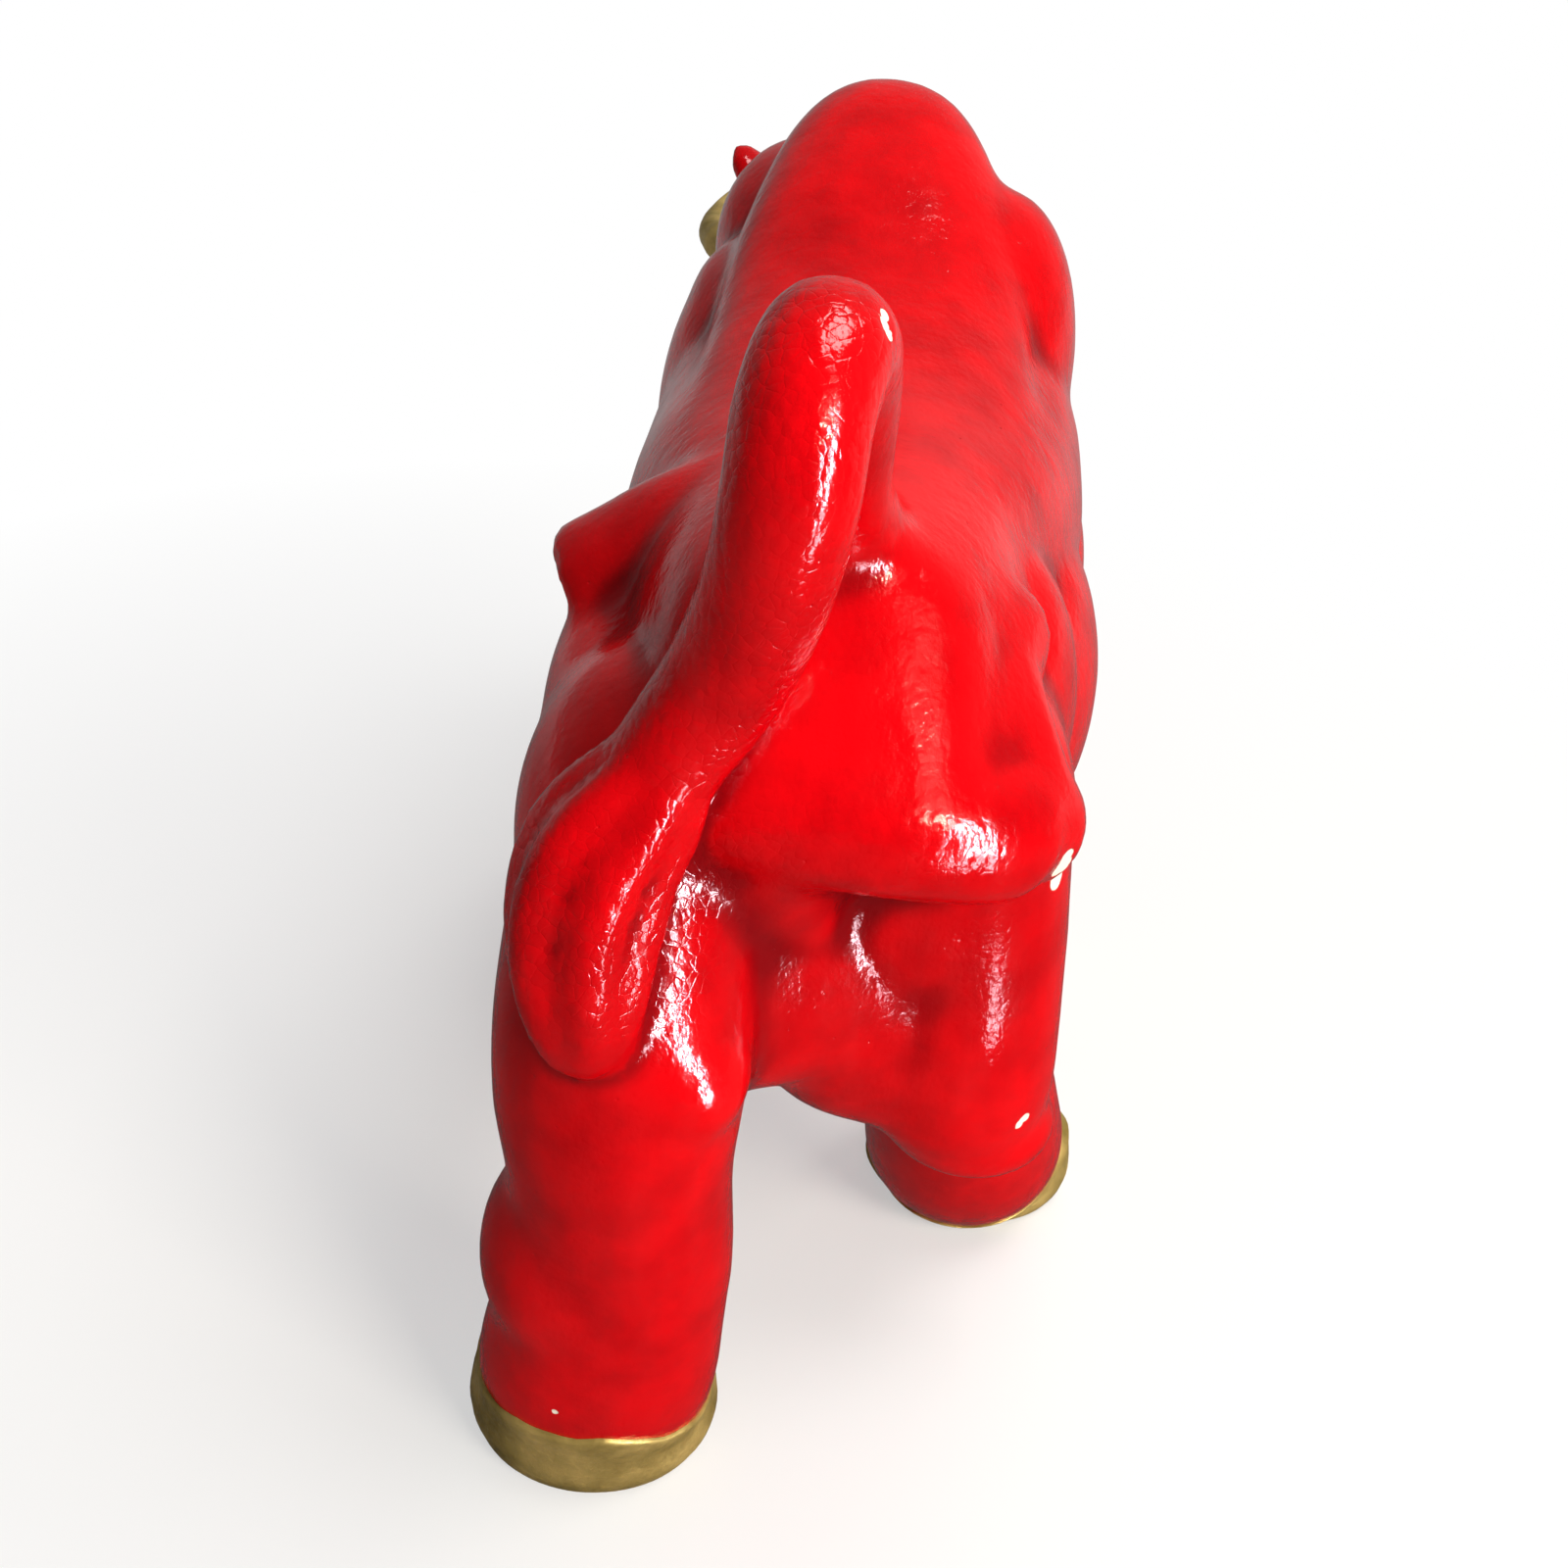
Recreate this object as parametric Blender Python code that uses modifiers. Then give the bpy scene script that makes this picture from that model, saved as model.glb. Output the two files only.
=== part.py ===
"""Ceramic bull figurine, stepping out with its head low and its tail thrown over the left haunch.

Torso, head, lower legs, hooves, horns, ears and tail are separate castings that seat in one another
with tenons and sockets, the way they are luted together before firing and painting.
Metres, +Z up, +Y towards the head, standing on Z = 0 with the origin under the middle of its box.
"""

import math

import bmesh
import bpy
from mathutils import Euler, Matrix, Vector

MM = 0.001

# Driving dimensions, in millimetres
CROUP_HEIGHT = 139.0      # ground to the top of the rump
HUMP_HEIGHT = 170.0       # ground to the top of the hump
CHEST_HALF_WIDTH = 39.0   # half of the torso's width behind the shoulders
LEG_SEAT = 44.0           # height at which a lower leg meets the torso
LEG_HALF_WIDTH = 15.0     # half of a lower leg's width at its narrowest
HOOF_HALF_WIDTH = 18.5
HOOF_HALF_LENGTH = 16.5
HOOF_HEIGHT = 12.0
HOOF_CLEFT = 3.0          # width of the split at the front of a hoof
TAIL_RADIUS = 6.8
HORN_RADIUS = 4.6
JOINT_GAP = 0.3           # clearance between two castings
BELOW_FLOOR = -20.0       # depth from which the torso is cleared under its legs
TENON_RADIUS = 6.0
TENON_LENGTH = 8.0
HOOF_TENON_LENGTH = 6.0
NECK_TENON_RADIUS = 11.0
NECK_TENON_LENGTH = 14.0

# Fineness of the meshes
VOXEL = 2.2
RELAX_STEPS = 6
RELAX_FACTOR = 0.5
KEPT_SHARE = 0.115        # share of the form's triangles that is kept
RING_POINTS = 18
SPAN_STEPS = 3
TURN_STEPS = 24
LUMP_STEPS = (16, 10)
TUBE_RESOLUTION = 3
WELD_DISTANCE = 1e-6

# Finishes: colour, roughness, metallic
RED_GLOSS = ((0.72, 0.008, 0.012), 0.22, 0.0)
GOLD_SATIN = ((0.26, 0.20, 0.07), 0.42, 0.6)

# Torso sections from buttocks to neck: along, aside, back, belly, half width, squareness
TORSO_SECTIONS = (
    (-79, 2, CROUP_HEIGHT - 29, 106, 12, 2.0),
    (-76, 1, CROUP_HEIGHT - 23, 102, CHEST_HALF_WIDTH - 22, 2.1),
    (-71, 0, CROUP_HEIGHT - 15, 99, CHEST_HALF_WIDTH - 20.5, 2.2),
    (-65, -1, CROUP_HEIGHT - 6, 95, CHEST_HALF_WIDTH - 19.5, 2.3),
    (-60, -1, CROUP_HEIGHT, 88, CHEST_HALF_WIDTH - 18.5, 2.2),
    (-50, -1, CROUP_HEIGHT + 0.5, 76, CHEST_HALF_WIDTH - 16, 2.2),
    (-40, -0.5, CROUP_HEIGHT + 0.5, 70, CHEST_HALF_WIDTH - 13, 2.4),
    (-25, 0, CROUP_HEIGHT, 66, CHEST_HALF_WIDTH - 11, 2.8),
    (0, 1, CROUP_HEIGHT, 60, CHEST_HALF_WIDTH - 4, 2.8),
    (25, 3, CROUP_HEIGHT + 1, 56, CHEST_HALF_WIDTH - 0.5, 2.6),
    (50, 4, CROUP_HEIGHT + 6, 55, CHEST_HALF_WIDTH, 2.4),
    (72, 3, CROUP_HEIGHT + 9, 57, CHEST_HALF_WIDTH - 3, 2.2),
    (92, -1, CROUP_HEIGHT + 8, 64, CHEST_HALF_WIDTH - 9, 2.0),
    (108, -5, CROUP_HEIGHT + 2, 80, CHEST_HALF_WIDTH - 15, 2.0),
)

# Withers and hump, a second and narrower barrel on the back
BACK_SECTIONS = (
    (-42, 0, CROUP_HEIGHT - 6, 104, 18, 2.4),
    (-20, 0, CROUP_HEIGHT - 1, 101, 24, 2.6),
    (5, 1, CROUP_HEIGHT + 2, 100, 28, 2.6),
    (30, 2, HUMP_HEIGHT - 21, 104, 27.5, 2.5),
    (52, 2, HUMP_HEIGHT - 8, 110, 25.5, 2.4),
    (70, 1.5, HUMP_HEIGHT + 0.5, 114, 21.5, 2.3),
    (84, 1.5, HUMP_HEIGHT - 2, 115, 18.5, 2.2),
    (96, -1, HUMP_HEIGHT - 15, 113, 15.5, 2.1),
    (104, -4, HUMP_HEIGHT - 26, 110, 14, 2.0),
)

# Muscles and bones that stand out of the torso: centre, radii
TORSO_LUMPS = {
    "neck_left": ((-12, 86, HUMP_HEIGHT - 32), (17, 22, 20)),
    "hip_right": ((17.5, -44.5, 119), (9, 9, 10.5)),
    "haunch_left": ((-20, -57, 97), (17.5, 24, 24)),
    "haunch_right": ((18.5, -43, 92), (17.5, 19, 26)),
    "shoulder_left": ((-19, 58, 112), (16, 26, 32)),
    "shoulder_right": ((22.6, 61, 124.5), (17, 26, 32.5)),
    "upper_arm_left": ((-25, 62, 88), (15, 24, 28)),
    "upper_arm_right": ((31, 55, 88), (17, 24, 28)),
    "ribs_left": ((-18, 6, 92), (20, 38, 30)),
    "ribs_right": ((24, 6, 92), (20, 38, 30)),
    "flank_right": ((18.5, -22, 96), (16.5, 20, 26)),
    "sheath": ((1, -8, 61), (7, 16, 7)),
    "brisket": ((1, 83, 76), (22, 15, 18)),
    "dewlap": ((-4, 99, 88), (8, 15, 23)),
}

# Ridges laid on the torso: stations of centre, half width, half depth
TORSO_RIDGES = {
    "hip_left": ((-34, -28, 111, 12.5, 10), (-27, -28, 116, 12.5, 11), (-20, -27.5, 121.5, 12.5, 12),
                 (-4, -26, 127, 12.5, 12)),
    "hip_slope_left": ((-24, -27, 110, 13, 12), (-22.5, -42, 105, 14, 12), (-20, -57, 100, 15.5, 19)),
    "flank_left": ((-23, -30, 108, 14, 12), (-22, -40, 88, 14, 14), (-20, -50, 74, 13, 14)),
    "sacrum_right": (
        (-2, -56.5, 132.5, 7, 7),
        (8, -53.5, 129.5, 7, 7),
        (17, -48, 123, 7, 7),
        (20, -40, 121, 7, 7),
    ),
    "buttock": ((-6, -69, 109, 9.5, 9.5), (10, -69.5, 108.5, 9.5, 9.5), (23, -64, 106, 9.5, 9.5),
                (27, -56, 104, 7, 7)),
    "pin_line_right": ((19, -48.5, 121, 6, 6), (22.5, -57, 114.5, 6, 6), (26.5, -63.5, 107, 6, 6)),
    "tail_collar": ((0, -36, 112, 15, 15), (-1, -47, 126, 12.5, 12.5), (-1, -51.5, 133, 10.5, 10.5)),
    "perineal_ridge": ((-8, -69, 104, 12, 8), (-8, -64, 92, 13, 7.5), (-8, -60, 80, 14, 7)),
    "seat": ((-22, -66, 77, 18.5, 13), (-9, -61, 77, 18.5, 13), (3, -54, 73, 17, 13), (13, -50, 67, 20, 13),
             (24, -47, 62, 19, 14)),
    "thigh_right": ((21, -43, 98, 14, 18), (22.5, -45, 80, 15, 16), (24, -47.5, 64, 15, 15.5),
                    (26, -48.5, 51, 14, 13.5), (27, -48.5, 45, 10, 10)),
    "croup_right": ((8, -46, 120, 15, 15), (13, -57, 113, 13, 13), (17, -63, 107, 10, 10)),
    "neck": ((1, 70, 112, 33, 44), (-3, 92, 117, 27, 36), (-7, 110, 119, 21, 28),
             (-9, 120, 116, 17, 23)),
}

# Legs from inside the body to below the hoof: centre, half width, half depth
LEGS = {
    "hind_left": (
        (-20.5, -58, 98, LEG_HALF_WIDTH + 0.5, 22),
        (-20.6, -72, 80, LEG_HALF_WIDTH + 1.3, 18),
        (-20.2, -76.5, 68, LEG_HALF_WIDTH + 1, 15),
        (-19.6, -77, 57, LEG_HALF_WIDTH - 0.2, 13.5),
        (-19.3, -76, 42, LEG_HALF_WIDTH + 0.8, 13.5),
        (-20, -76, 29, LEG_HALF_WIDTH + 1.4, 13.5),
        (-21.2, -74.5, 17, LEG_HALF_WIDTH + 2.4, 14.5),
        (-22, -71, 0, LEG_HALF_WIDTH + 2, 15),
        (-22, -71, -8, LEG_HALF_WIDTH + 2, 15),
    ),
    "hind_right": (
        (24, -36, 64, LEG_HALF_WIDTH - 2, 13),
        (28, -32, 46, LEG_HALF_WIDTH - 1, 13.5),
        (31, -27, 30, LEG_HALF_WIDTH + 1, 14.5),
        (33.8, -20, 16, LEG_HALF_WIDTH + 2.2, 16),
        (37, -10, 0, LEG_HALF_WIDTH + 2, 15),
        (37, -10, -8, LEG_HALF_WIDTH + 2, 15),
    ),
    "front_left": (
        (-24, 60, 92, LEG_HALF_WIDTH + 1, 22),
        (-28, 66, 70, LEG_HALF_WIDTH + 1, 18),
        (-30, 72, 54, LEG_HALF_WIDTH - 1, 14),
        (-31, 77, 42, LEG_HALF_WIDTH, 14.5),
        (-31.5, 81, 28, LEG_HALF_WIDTH - 2, 12),
        (-32, 84, 14, LEG_HALF_WIDTH + 1.5, 14),
        (-32, 86, 0, LEG_HALF_WIDTH + 2, 15),
        (-32, 86, -8, LEG_HALF_WIDTH + 2, 15),
    ),
    "front_right": (
        (30, 54, 92, LEG_HALF_WIDTH + 2, 22),
        (36, 53, 70, LEG_HALF_WIDTH + 1.5, 18),
        (38, 53, 54, LEG_HALF_WIDTH - 0.5, 14),
        (39, 54, 42, LEG_HALF_WIDTH + 0.5, 14.5),
        (39, 53, 28, LEG_HALF_WIDTH - 2, 12),
        (39, 53, 14, LEG_HALF_WIDTH + 1.5, 14),
        (39, 55, 0, LEG_HALF_WIDTH + 2, 15),
        (39, 55, -8, LEG_HALF_WIDTH + 2, 15),
    ),
}

# Joints that stand out of the legs: centre, radii
LEG_LUMPS = {
    "hock_left": ((-25.5, -76.5, 40), (12.6, 13, 18)),
    "hock_right": ((28.5, -48, 46), (13.5, 12, 8)),
    "gaskin_left": ((-13, -80, 76), (9.5, 10, 9)),
    "knee_left": ((-30, 84, 44), (11, 8, 12)),
    "knee_right": ((39, 62, 44), (11, 8, 12)),
}

# Box that holds one lower leg and no other: least and greatest aside, least and greatest along
LEG_BOXES = {
    "hind_left": (-60, -1, -110, -30),
    "hind_right": (4, 70, -80, 20),
    "front_left": (-60, -2, 40, 115),
    "front_right": (8, 70, 25, 90),
}

# The head in its own frame: origin on the poll, Y down the face, Z out of the forehead
HEAD_TURN = Euler((math.radians(-50), 0, math.radians(12)))
HEAD_PLACE = Matrix.LocRotScale(Vector((-7, 114, 140)), HEAD_TURN, None)
HEAD_SECTIONS = (
    (-14, 0, -3, -46, 20, 2.3),
    (0, 0, 1, -46, 20.5, 2.4),
    (14, 0, 2, -43, 19.5, 2.5),
    (30, 0, -1, -36, 16, 2.4),
    (46, 0, -6, -31, 13, 2.4),
    (57, 0, -8, -30, 14.5, 2.4),
    (65, 0, -12, -26, 11, 2.4),
)
HEAD_LUMPS = (
    ((0, -4, -1), (13, 12, 6)),
    ((0, 57, -18), (15.5, 9, 12)),
    ((0, 50, -28), (9, 12, 6)),
)
HEAD_PAIRS = (
    ((12.5, 15, -2), (7, 8.5, 5)),
    ((16.5, 20, -8), (4.2, 4.6, 4.2)),
    ((12, 12, -28), (9, 15, 14)),
    ((8, 61, -13), (5.5, 5, 5.5)),
)

# Seat of the neck, square to the neck's own heading
NECK_SEAT = Matrix.LocRotScale(Vector((-4, 99, 118)), Euler((0, 0, math.radians(8))), None)
NECK_BLOCK = (120.0, 130.0, 126.0)

# Horn of the head's right side, in the head's frame: centre, radius
HORN_STATIONS = (
    (9, 8, -4, HORN_RADIUS),
    (15, 11.5, -2, HORN_RADIUS),
    (20.5, 15.5, 2, HORN_RADIUS - 0.4),
    (22, 20, 9, HORN_RADIUS - 1.2),
    (19.5, 24, 17.5, HORN_RADIUS - 2.4),
    (15.5, 26, 26, HORN_RADIUS - 4.4),
)
EAR_BASE = Vector((11, -3, -5))
EAR_TIP = Vector((22, -10, 6))
EAR_HALF_WIDTH = 5.5
EAR_HALF_THICKNESS = 3.2
EAR_SCOOP_SHARE = 0.62    # size of the hollow in an ear's front, against the ear
EAR_SCOOP_SHIFT = 2.0     # how far that hollow lies towards the tip

# Tail from inside the rump, over its arch and down the left haunch to the tuft: centre, radius
TAIL_STATIONS = (
    (-1, -48, 122, TAIL_RADIUS),
    (-1, -53, 131, TAIL_RADIUS),
    (-1.3, -58, 139, TAIL_RADIUS - 0.4),
    (-2, -63, 148, TAIL_RADIUS - 0.8),
    (-3.2, -70, 159.5, TAIL_RADIUS - 0.2),
    (-4.5, -78, 164.5, TAIL_RADIUS),
    (-6, -84, 160.5, TAIL_RADIUS),
    (-6.5, -86, 152, TAIL_RADIUS),
    (-8, -83, 141, TAIL_RADIUS),
    (-11.5, -79, 129, TAIL_RADIUS),
    (-18, -80.5, 117, TAIL_RADIUS + 0.4),
    (-23, -82.5, 108, TAIL_RADIUS + 2),
    (-24.5, -84.5, 100, TAIL_RADIUS + 2.6),
    (-24, -87, 92, TAIL_RADIUS + 1.4),
    (-23, -88.5, 86, TAIL_RADIUS - 1.6),
    (-22.5, -89, 83, TAIL_RADIUS - 5.6),
)


def clear_scene():
    for ob in list(bpy.data.objects):
        bpy.data.objects.remove(ob, do_unlink=True)


def new_collection(name):
    collection = bpy.data.collections.new(name)
    bpy.context.scene.collection.children.link(collection)
    return collection


def new_finish(name, finish):
    colour, roughness, metallic = finish
    material = bpy.data.materials.new(name)
    material.use_nodes = True
    shader = material.node_tree.nodes["Principled BSDF"]
    shader.inputs["Base Color"].default_value = (*colour, 1.0)
    shader.inputs["Roughness"].default_value = roughness
    shader.inputs["Metallic"].default_value = metallic
    return material


def smooth_stations(stations, steps=SPAN_STEPS):
    """Rows of numbers on a Catmull-Rom curve through the stations."""
    rows = []
    last = len(stations) - 1
    for index in range(last):
        before = stations[max(index - 1, 0)]
        start = stations[index]
        end = stations[index + 1]
        after = stations[min(index + 2, last)]
        for step in range(steps):
            t = step / steps
            rows.append(tuple(
                0.5 * (2 * b + (c - a) * t + (2 * a - 5 * b + 4 * c - d) * t**2
                       + (3 * b - a - 3 * c + d) * t**3)
                for a, b, c, d in zip(before, start, end, after)))
    rows.append(tuple(stations[-1]))
    return rows


def section_ring(centre, side, up, half_width, half_height, squareness=2.0):
    """Points of one superellipse section: squareness 2 is an ellipse, more is boxier."""
    points = []
    for index in range(RING_POINTS):
        angle = math.tau * index / RING_POINTS
        across = math.copysign(abs(math.cos(angle)) ** (2 / squareness), math.cos(angle))
        upward = math.copysign(abs(math.sin(angle)) ** (2 / squareness), math.sin(angle))
        points.append(centre + side * half_width * across + up * half_height * upward)
    return points


def add_loft(clay, rings):
    """Closed skin through rings of equal point count."""
    loops = [[clay.verts.new(point) for point in ring] for ring in rings]
    faces = [clay.faces.new(loops[0]), clay.faces.new(loops[-1])]
    for lower, upper in zip(loops, loops[1:]):
        for index in range(RING_POINTS):
            after = (index + 1) % RING_POINTS
            faces.append(clay.faces.new((lower[index], lower[after], upper[after], upper[index])))
    bmesh.ops.recalc_face_normals(clay, faces=faces)


def add_barrel(clay, sections, place=Matrix()):
    """Loft with upright sections along Y: the torso and the head."""
    rings = []
    for along, aside, top, bottom, half_width, squareness in smooth_stations(sections):
        centre = Vector((aside, along, (top + bottom) / 2))
        half_height = (top - bottom) / 2
        ring = section_ring(centre, Vector((1, 0, 0)), Vector((0, 0, 1)),
                            half_width, half_height, squareness)
        rings.append([place @ point for point in ring])
    add_loft(clay, rings)


def add_limb(clay, stations):
    """Loft with sections square to its path: legs, neck and ridges."""
    rows = smooth_stations(stations)
    centres = [Vector(row[:3]) for row in rows]
    rings = []
    for index, row in enumerate(rows):
        heading = (centres[min(index + 1, len(rows) - 1)] - centres[max(index - 1, 0)]).normalized()
        reference = Vector((0, 0, 1)) if abs(heading.x) > 0.7 else Vector((1, 0, 0))
        side = (reference - heading * reference.dot(heading)).normalized()
        rings.append(section_ring(centres[index], side, heading.cross(side), row[3], row[4]))
    add_loft(clay, rings)


def add_lump(clay, centre, radii, place=Matrix()):
    matrix = place @ Matrix.LocRotScale(Vector(centre), None, Vector(radii))
    around, upward = LUMP_STEPS
    bmesh.ops.create_uvsphere(clay, u_segments=around, v_segments=upward, radius=1.0, matrix=matrix)


def mesh_object(name, clay, collection, stance):
    """Object from clay worked in millimetres."""
    bmesh.ops.scale(clay, vec=(MM, MM, MM), verts=clay.verts)
    mesh = bpy.data.meshes.new(name)
    clay.to_mesh(mesh)
    clay.free()
    ob = bpy.data.objects.new(name, mesh)
    collection.objects.link(ob)
    ob.parent = stance
    return ob


def evaluated_mesh(ob):
    bpy.context.view_layer.update()
    graph = bpy.context.evaluated_depsgraph_get()
    return bpy.data.meshes.new_from_object(ob.evaluated_get(graph))


def as_cutter(ob):
    ob.hide_render = True
    ob.display_type = "WIRE"
    return ob


def cut(ob, cutter, operation):
    modifier = ob.modifiers.new(f"{operation.lower()} {cutter.name}", "BOOLEAN")
    modifier.operation = operation
    modifier.object = cutter
    modifier.solver = "EXACT"


def bull_clay():
    """Torso, neck, head and legs as overlapping lumps of clay."""
    clay = bmesh.new()
    add_barrel(clay, TORSO_SECTIONS)
    add_barrel(clay, BACK_SECTIONS)
    for centre, radii in [*TORSO_LUMPS.values(), *LEG_LUMPS.values()]:
        add_lump(clay, centre, radii)
    for stations in [*TORSO_RIDGES.values(), *LEGS.values()]:
        add_limb(clay, stations)
    add_barrel(clay, HEAD_SECTIONS, HEAD_PLACE)
    for centre, radii in HEAD_LUMPS:
        add_lump(clay, centre, radii, HEAD_PLACE)
    for (aside, along, height), radii in HEAD_PAIRS:
        for mirror in (-1, 1):
            add_lump(clay, (mirror * aside, along, height), radii, HEAD_PLACE)
    return clay


def fused_form(collection, stance):
    """The whole bull in one skin: lumps fused on a voxel grid, relaxed, then thinned out."""
    form = as_cutter(mesh_object("form", bull_clay(), collection, stance))
    fuse = form.modifiers.new("fuse", "REMESH")
    fuse.mode = "VOXEL"
    fuse.voxel_size = VOXEL * MM
    relax = form.modifiers.new("relax", "SMOOTH")
    relax.factor = RELAX_FACTOR
    relax.iterations = RELAX_STEPS
    thin = form.modifiers.new("thin", "DECIMATE")
    thin.ratio = KEPT_SHARE
    mesh = evaluated_mesh(form)
    mesh.shade_smooth()
    return mesh


def part_from_form(name, mesh, finish, collection, stance):
    ob = bpy.data.objects.new(name, mesh.copy())
    ob.data.name = name
    ob.data.materials.clear()
    ob.data.materials.append(finish)
    collection.objects.link(ob)
    ob.parent = stance
    return ob


def box_and_tenon(name, box, tenon, collection, stance):
    """Cutter: a box with a round tenon standing on one face. Both are given with their own place."""
    box_size, box_place = box
    radius, length, tenon_place = tenon
    block = bmesh.new()
    bmesh.ops.create_cube(block, size=1.0, matrix=box_place @ Matrix.Diagonal((*box_size, 1)))
    block = as_cutter(mesh_object(name, block, collection, stance))
    peg = bmesh.new()
    bmesh.ops.create_cone(peg, cap_ends=True, segments=TURN_STEPS, radius1=radius, radius2=radius,
                          depth=2 * length, matrix=tenon_place)
    peg = as_cutter(mesh_object(f"{name}_tenon", peg, collection, stance))
    cut(block, peg, "UNION")
    return block


def leg_cutter(which, grow, bottom, collection, stance):
    """Everything of one leg from the bottom height up to its seat, with the tenon above it."""
    least_x, most_x, least_y, most_y = LEG_BOXES[which]
    top = LEG_SEAT + grow
    size = (most_x - least_x + 2 * grow, most_y - least_y + 2 * grow, top - bottom)
    middle = Vector(((least_x + most_x) / 2, (least_y + most_y) / 2, (top + bottom) / 2))
    axis_x, axis_y = leg_axis_at(which, LEG_SEAT)
    tenon_place = Matrix.Translation((axis_x, axis_y, LEG_SEAT))
    name = f"cut_leg_{which}_{'socket' if grow else 'piece'}"
    return box_and_tenon(name, (size, Matrix.Translation(middle)),
                         (TENON_RADIUS + grow, TENON_LENGTH + grow, tenon_place), collection, stance)


def leg_axis_at(which, height):
    """Where a leg's middle line passes through a height."""
    rows = smooth_stations(LEGS[which])
    for upper, lower in zip(rows, rows[1:]):
        if upper[2] >= height >= lower[2]:
            share = (upper[2] - height) / (upper[2] - lower[2])
            return tuple(u + (l - u) * share for u, l in zip(upper[:2], lower[:2]))


def head_cutter(grow, collection, stance):
    """Everything in front of the neck seat, with a tenon that reaches back into the torso."""
    box_place = NECK_SEAT @ Matrix.Translation((0, NECK_BLOCK[1] / 2 - grow, 0))
    tenon_place = NECK_SEAT @ Matrix.Rotation(math.pi / 2, 4, "X")
    name = f"cut_head_{'socket' if grow else 'piece'}"
    tenon = (NECK_TENON_RADIUS + grow, NECK_TENON_LENGTH + grow, tenon_place)
    return box_and_tenon(name, (NECK_BLOCK, box_place), tenon, collection, stance)


def tapered_tube(name, stations, grow, place, collection, stance):
    """Round tube of changing radius along a smooth path, made a mesh so that it can cut."""
    rows = smooth_stations(stations)
    curve = bpy.data.curves.new(name, "CURVE")
    curve.dimensions = "3D"
    curve.bevel_depth = MM
    curve.bevel_resolution = TUBE_RESOLUTION
    curve.use_fill_caps = True
    spline = curve.splines.new("POLY")
    spline.points.add(len(rows) - 1)
    for point, row in zip(spline.points, rows):
        point.co = (*(place @ Vector(row[:3]) * MM), 1.0)
        point.radius = row[3] + grow
    ob = bpy.data.objects.new(f"{name}_path", curve)
    collection.objects.link(ob)
    mesh = evaluated_mesh(ob)
    bpy.data.objects.remove(ob)
    welded = bmesh.new()
    welded.from_mesh(mesh)
    bmesh.ops.remove_doubles(welded, verts=welded.verts, dist=WELD_DISTANCE)
    bmesh.ops.recalc_face_normals(welded, faces=welded.faces)
    welded.to_mesh(mesh)
    welded.free()
    mesh.shade_smooth()
    tube = bpy.data.objects.new(name, mesh)
    collection.objects.link(tube)
    tube.parent = stance
    return tube


def ear_place(mirror):
    """Frame of an ear: X from its root to its tip, Y through its thickness."""
    base = Vector((mirror * EAR_BASE.x, EAR_BASE.y, EAR_BASE.z))
    tip = Vector((mirror * EAR_TIP.x, EAR_TIP.y, EAR_TIP.z))
    turn = (tip - base).to_track_quat("X", "Z").to_matrix().to_4x4()
    return HEAD_PLACE @ Matrix.Translation((base + tip) / 2) @ turn


def leaf(name, mirror, centre, radii, collection, stance):
    """One flat ellipsoid in an ear's frame."""
    clay = bmesh.new()
    add_lump(clay, centre, radii, ear_place(mirror))
    ob = mesh_object(name, clay, collection, stance)
    ob.data.shade_smooth()
    return ob


def build_ear(side, mirror, head, red, collection, cutters, stance):
    """Leaf-shaped ear, scooped out in front, with its root in a socket of the head."""
    half_length = (EAR_TIP - EAR_BASE).length / 2
    radii = Vector((half_length, EAR_HALF_THICKNESS, EAR_HALF_WIDTH))
    ear = leaf(f"ear_{side}", mirror, (0, 0, 0), radii, collection, stance)
    ear.data.materials.append(red)
    front = mirror * EAR_HALF_THICKNESS
    scoop_radii = radii * EAR_SCOOP_SHARE
    scoop = leaf(f"cut_scoop_{side}", mirror, (EAR_SCOOP_SHIFT, front, 0), scoop_radii, cutters, stance)
    cut(ear, as_cutter(scoop), "DIFFERENCE")
    grown = radii + Vector((JOINT_GAP, JOINT_GAP, JOINT_GAP))
    cut(head, as_cutter(leaf(f"cut_ear_{side}", mirror, (0, 0, 0), grown, cutters, stance)), "DIFFERENCE")
    return ear


def turned(name, profile, place, stretch, collection, stance):
    """Solid of revolution from (radius, height) pairs given from the top down the outer side."""
    mesh = bpy.data.meshes.new(name)
    points = [(radius * MM, 0, height * MM) for radius, height in profile]
    mesh.from_pydata(points, [(index, index + 1) for index in range(len(points) - 1)], [])
    ob = bpy.data.objects.new(name, mesh)
    collection.objects.link(ob)
    ob.parent = stance
    ob.location = place * MM
    ob.scale.y = stretch
    screw = ob.modifiers.new("turn", "SCREW")
    screw.steps = TURN_STEPS
    screw.render_steps = TURN_STEPS
    screw.use_merge_vertices = True
    screw.merge_threshold = WELD_DISTANCE
    screw.use_smooth_shade = True
    return ob


def tenon_profile(grow):
    top = HOOF_HEIGHT + HOOF_TENON_LENGTH + grow
    return [(0, top), (TENON_RADIUS + grow, top)]


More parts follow.
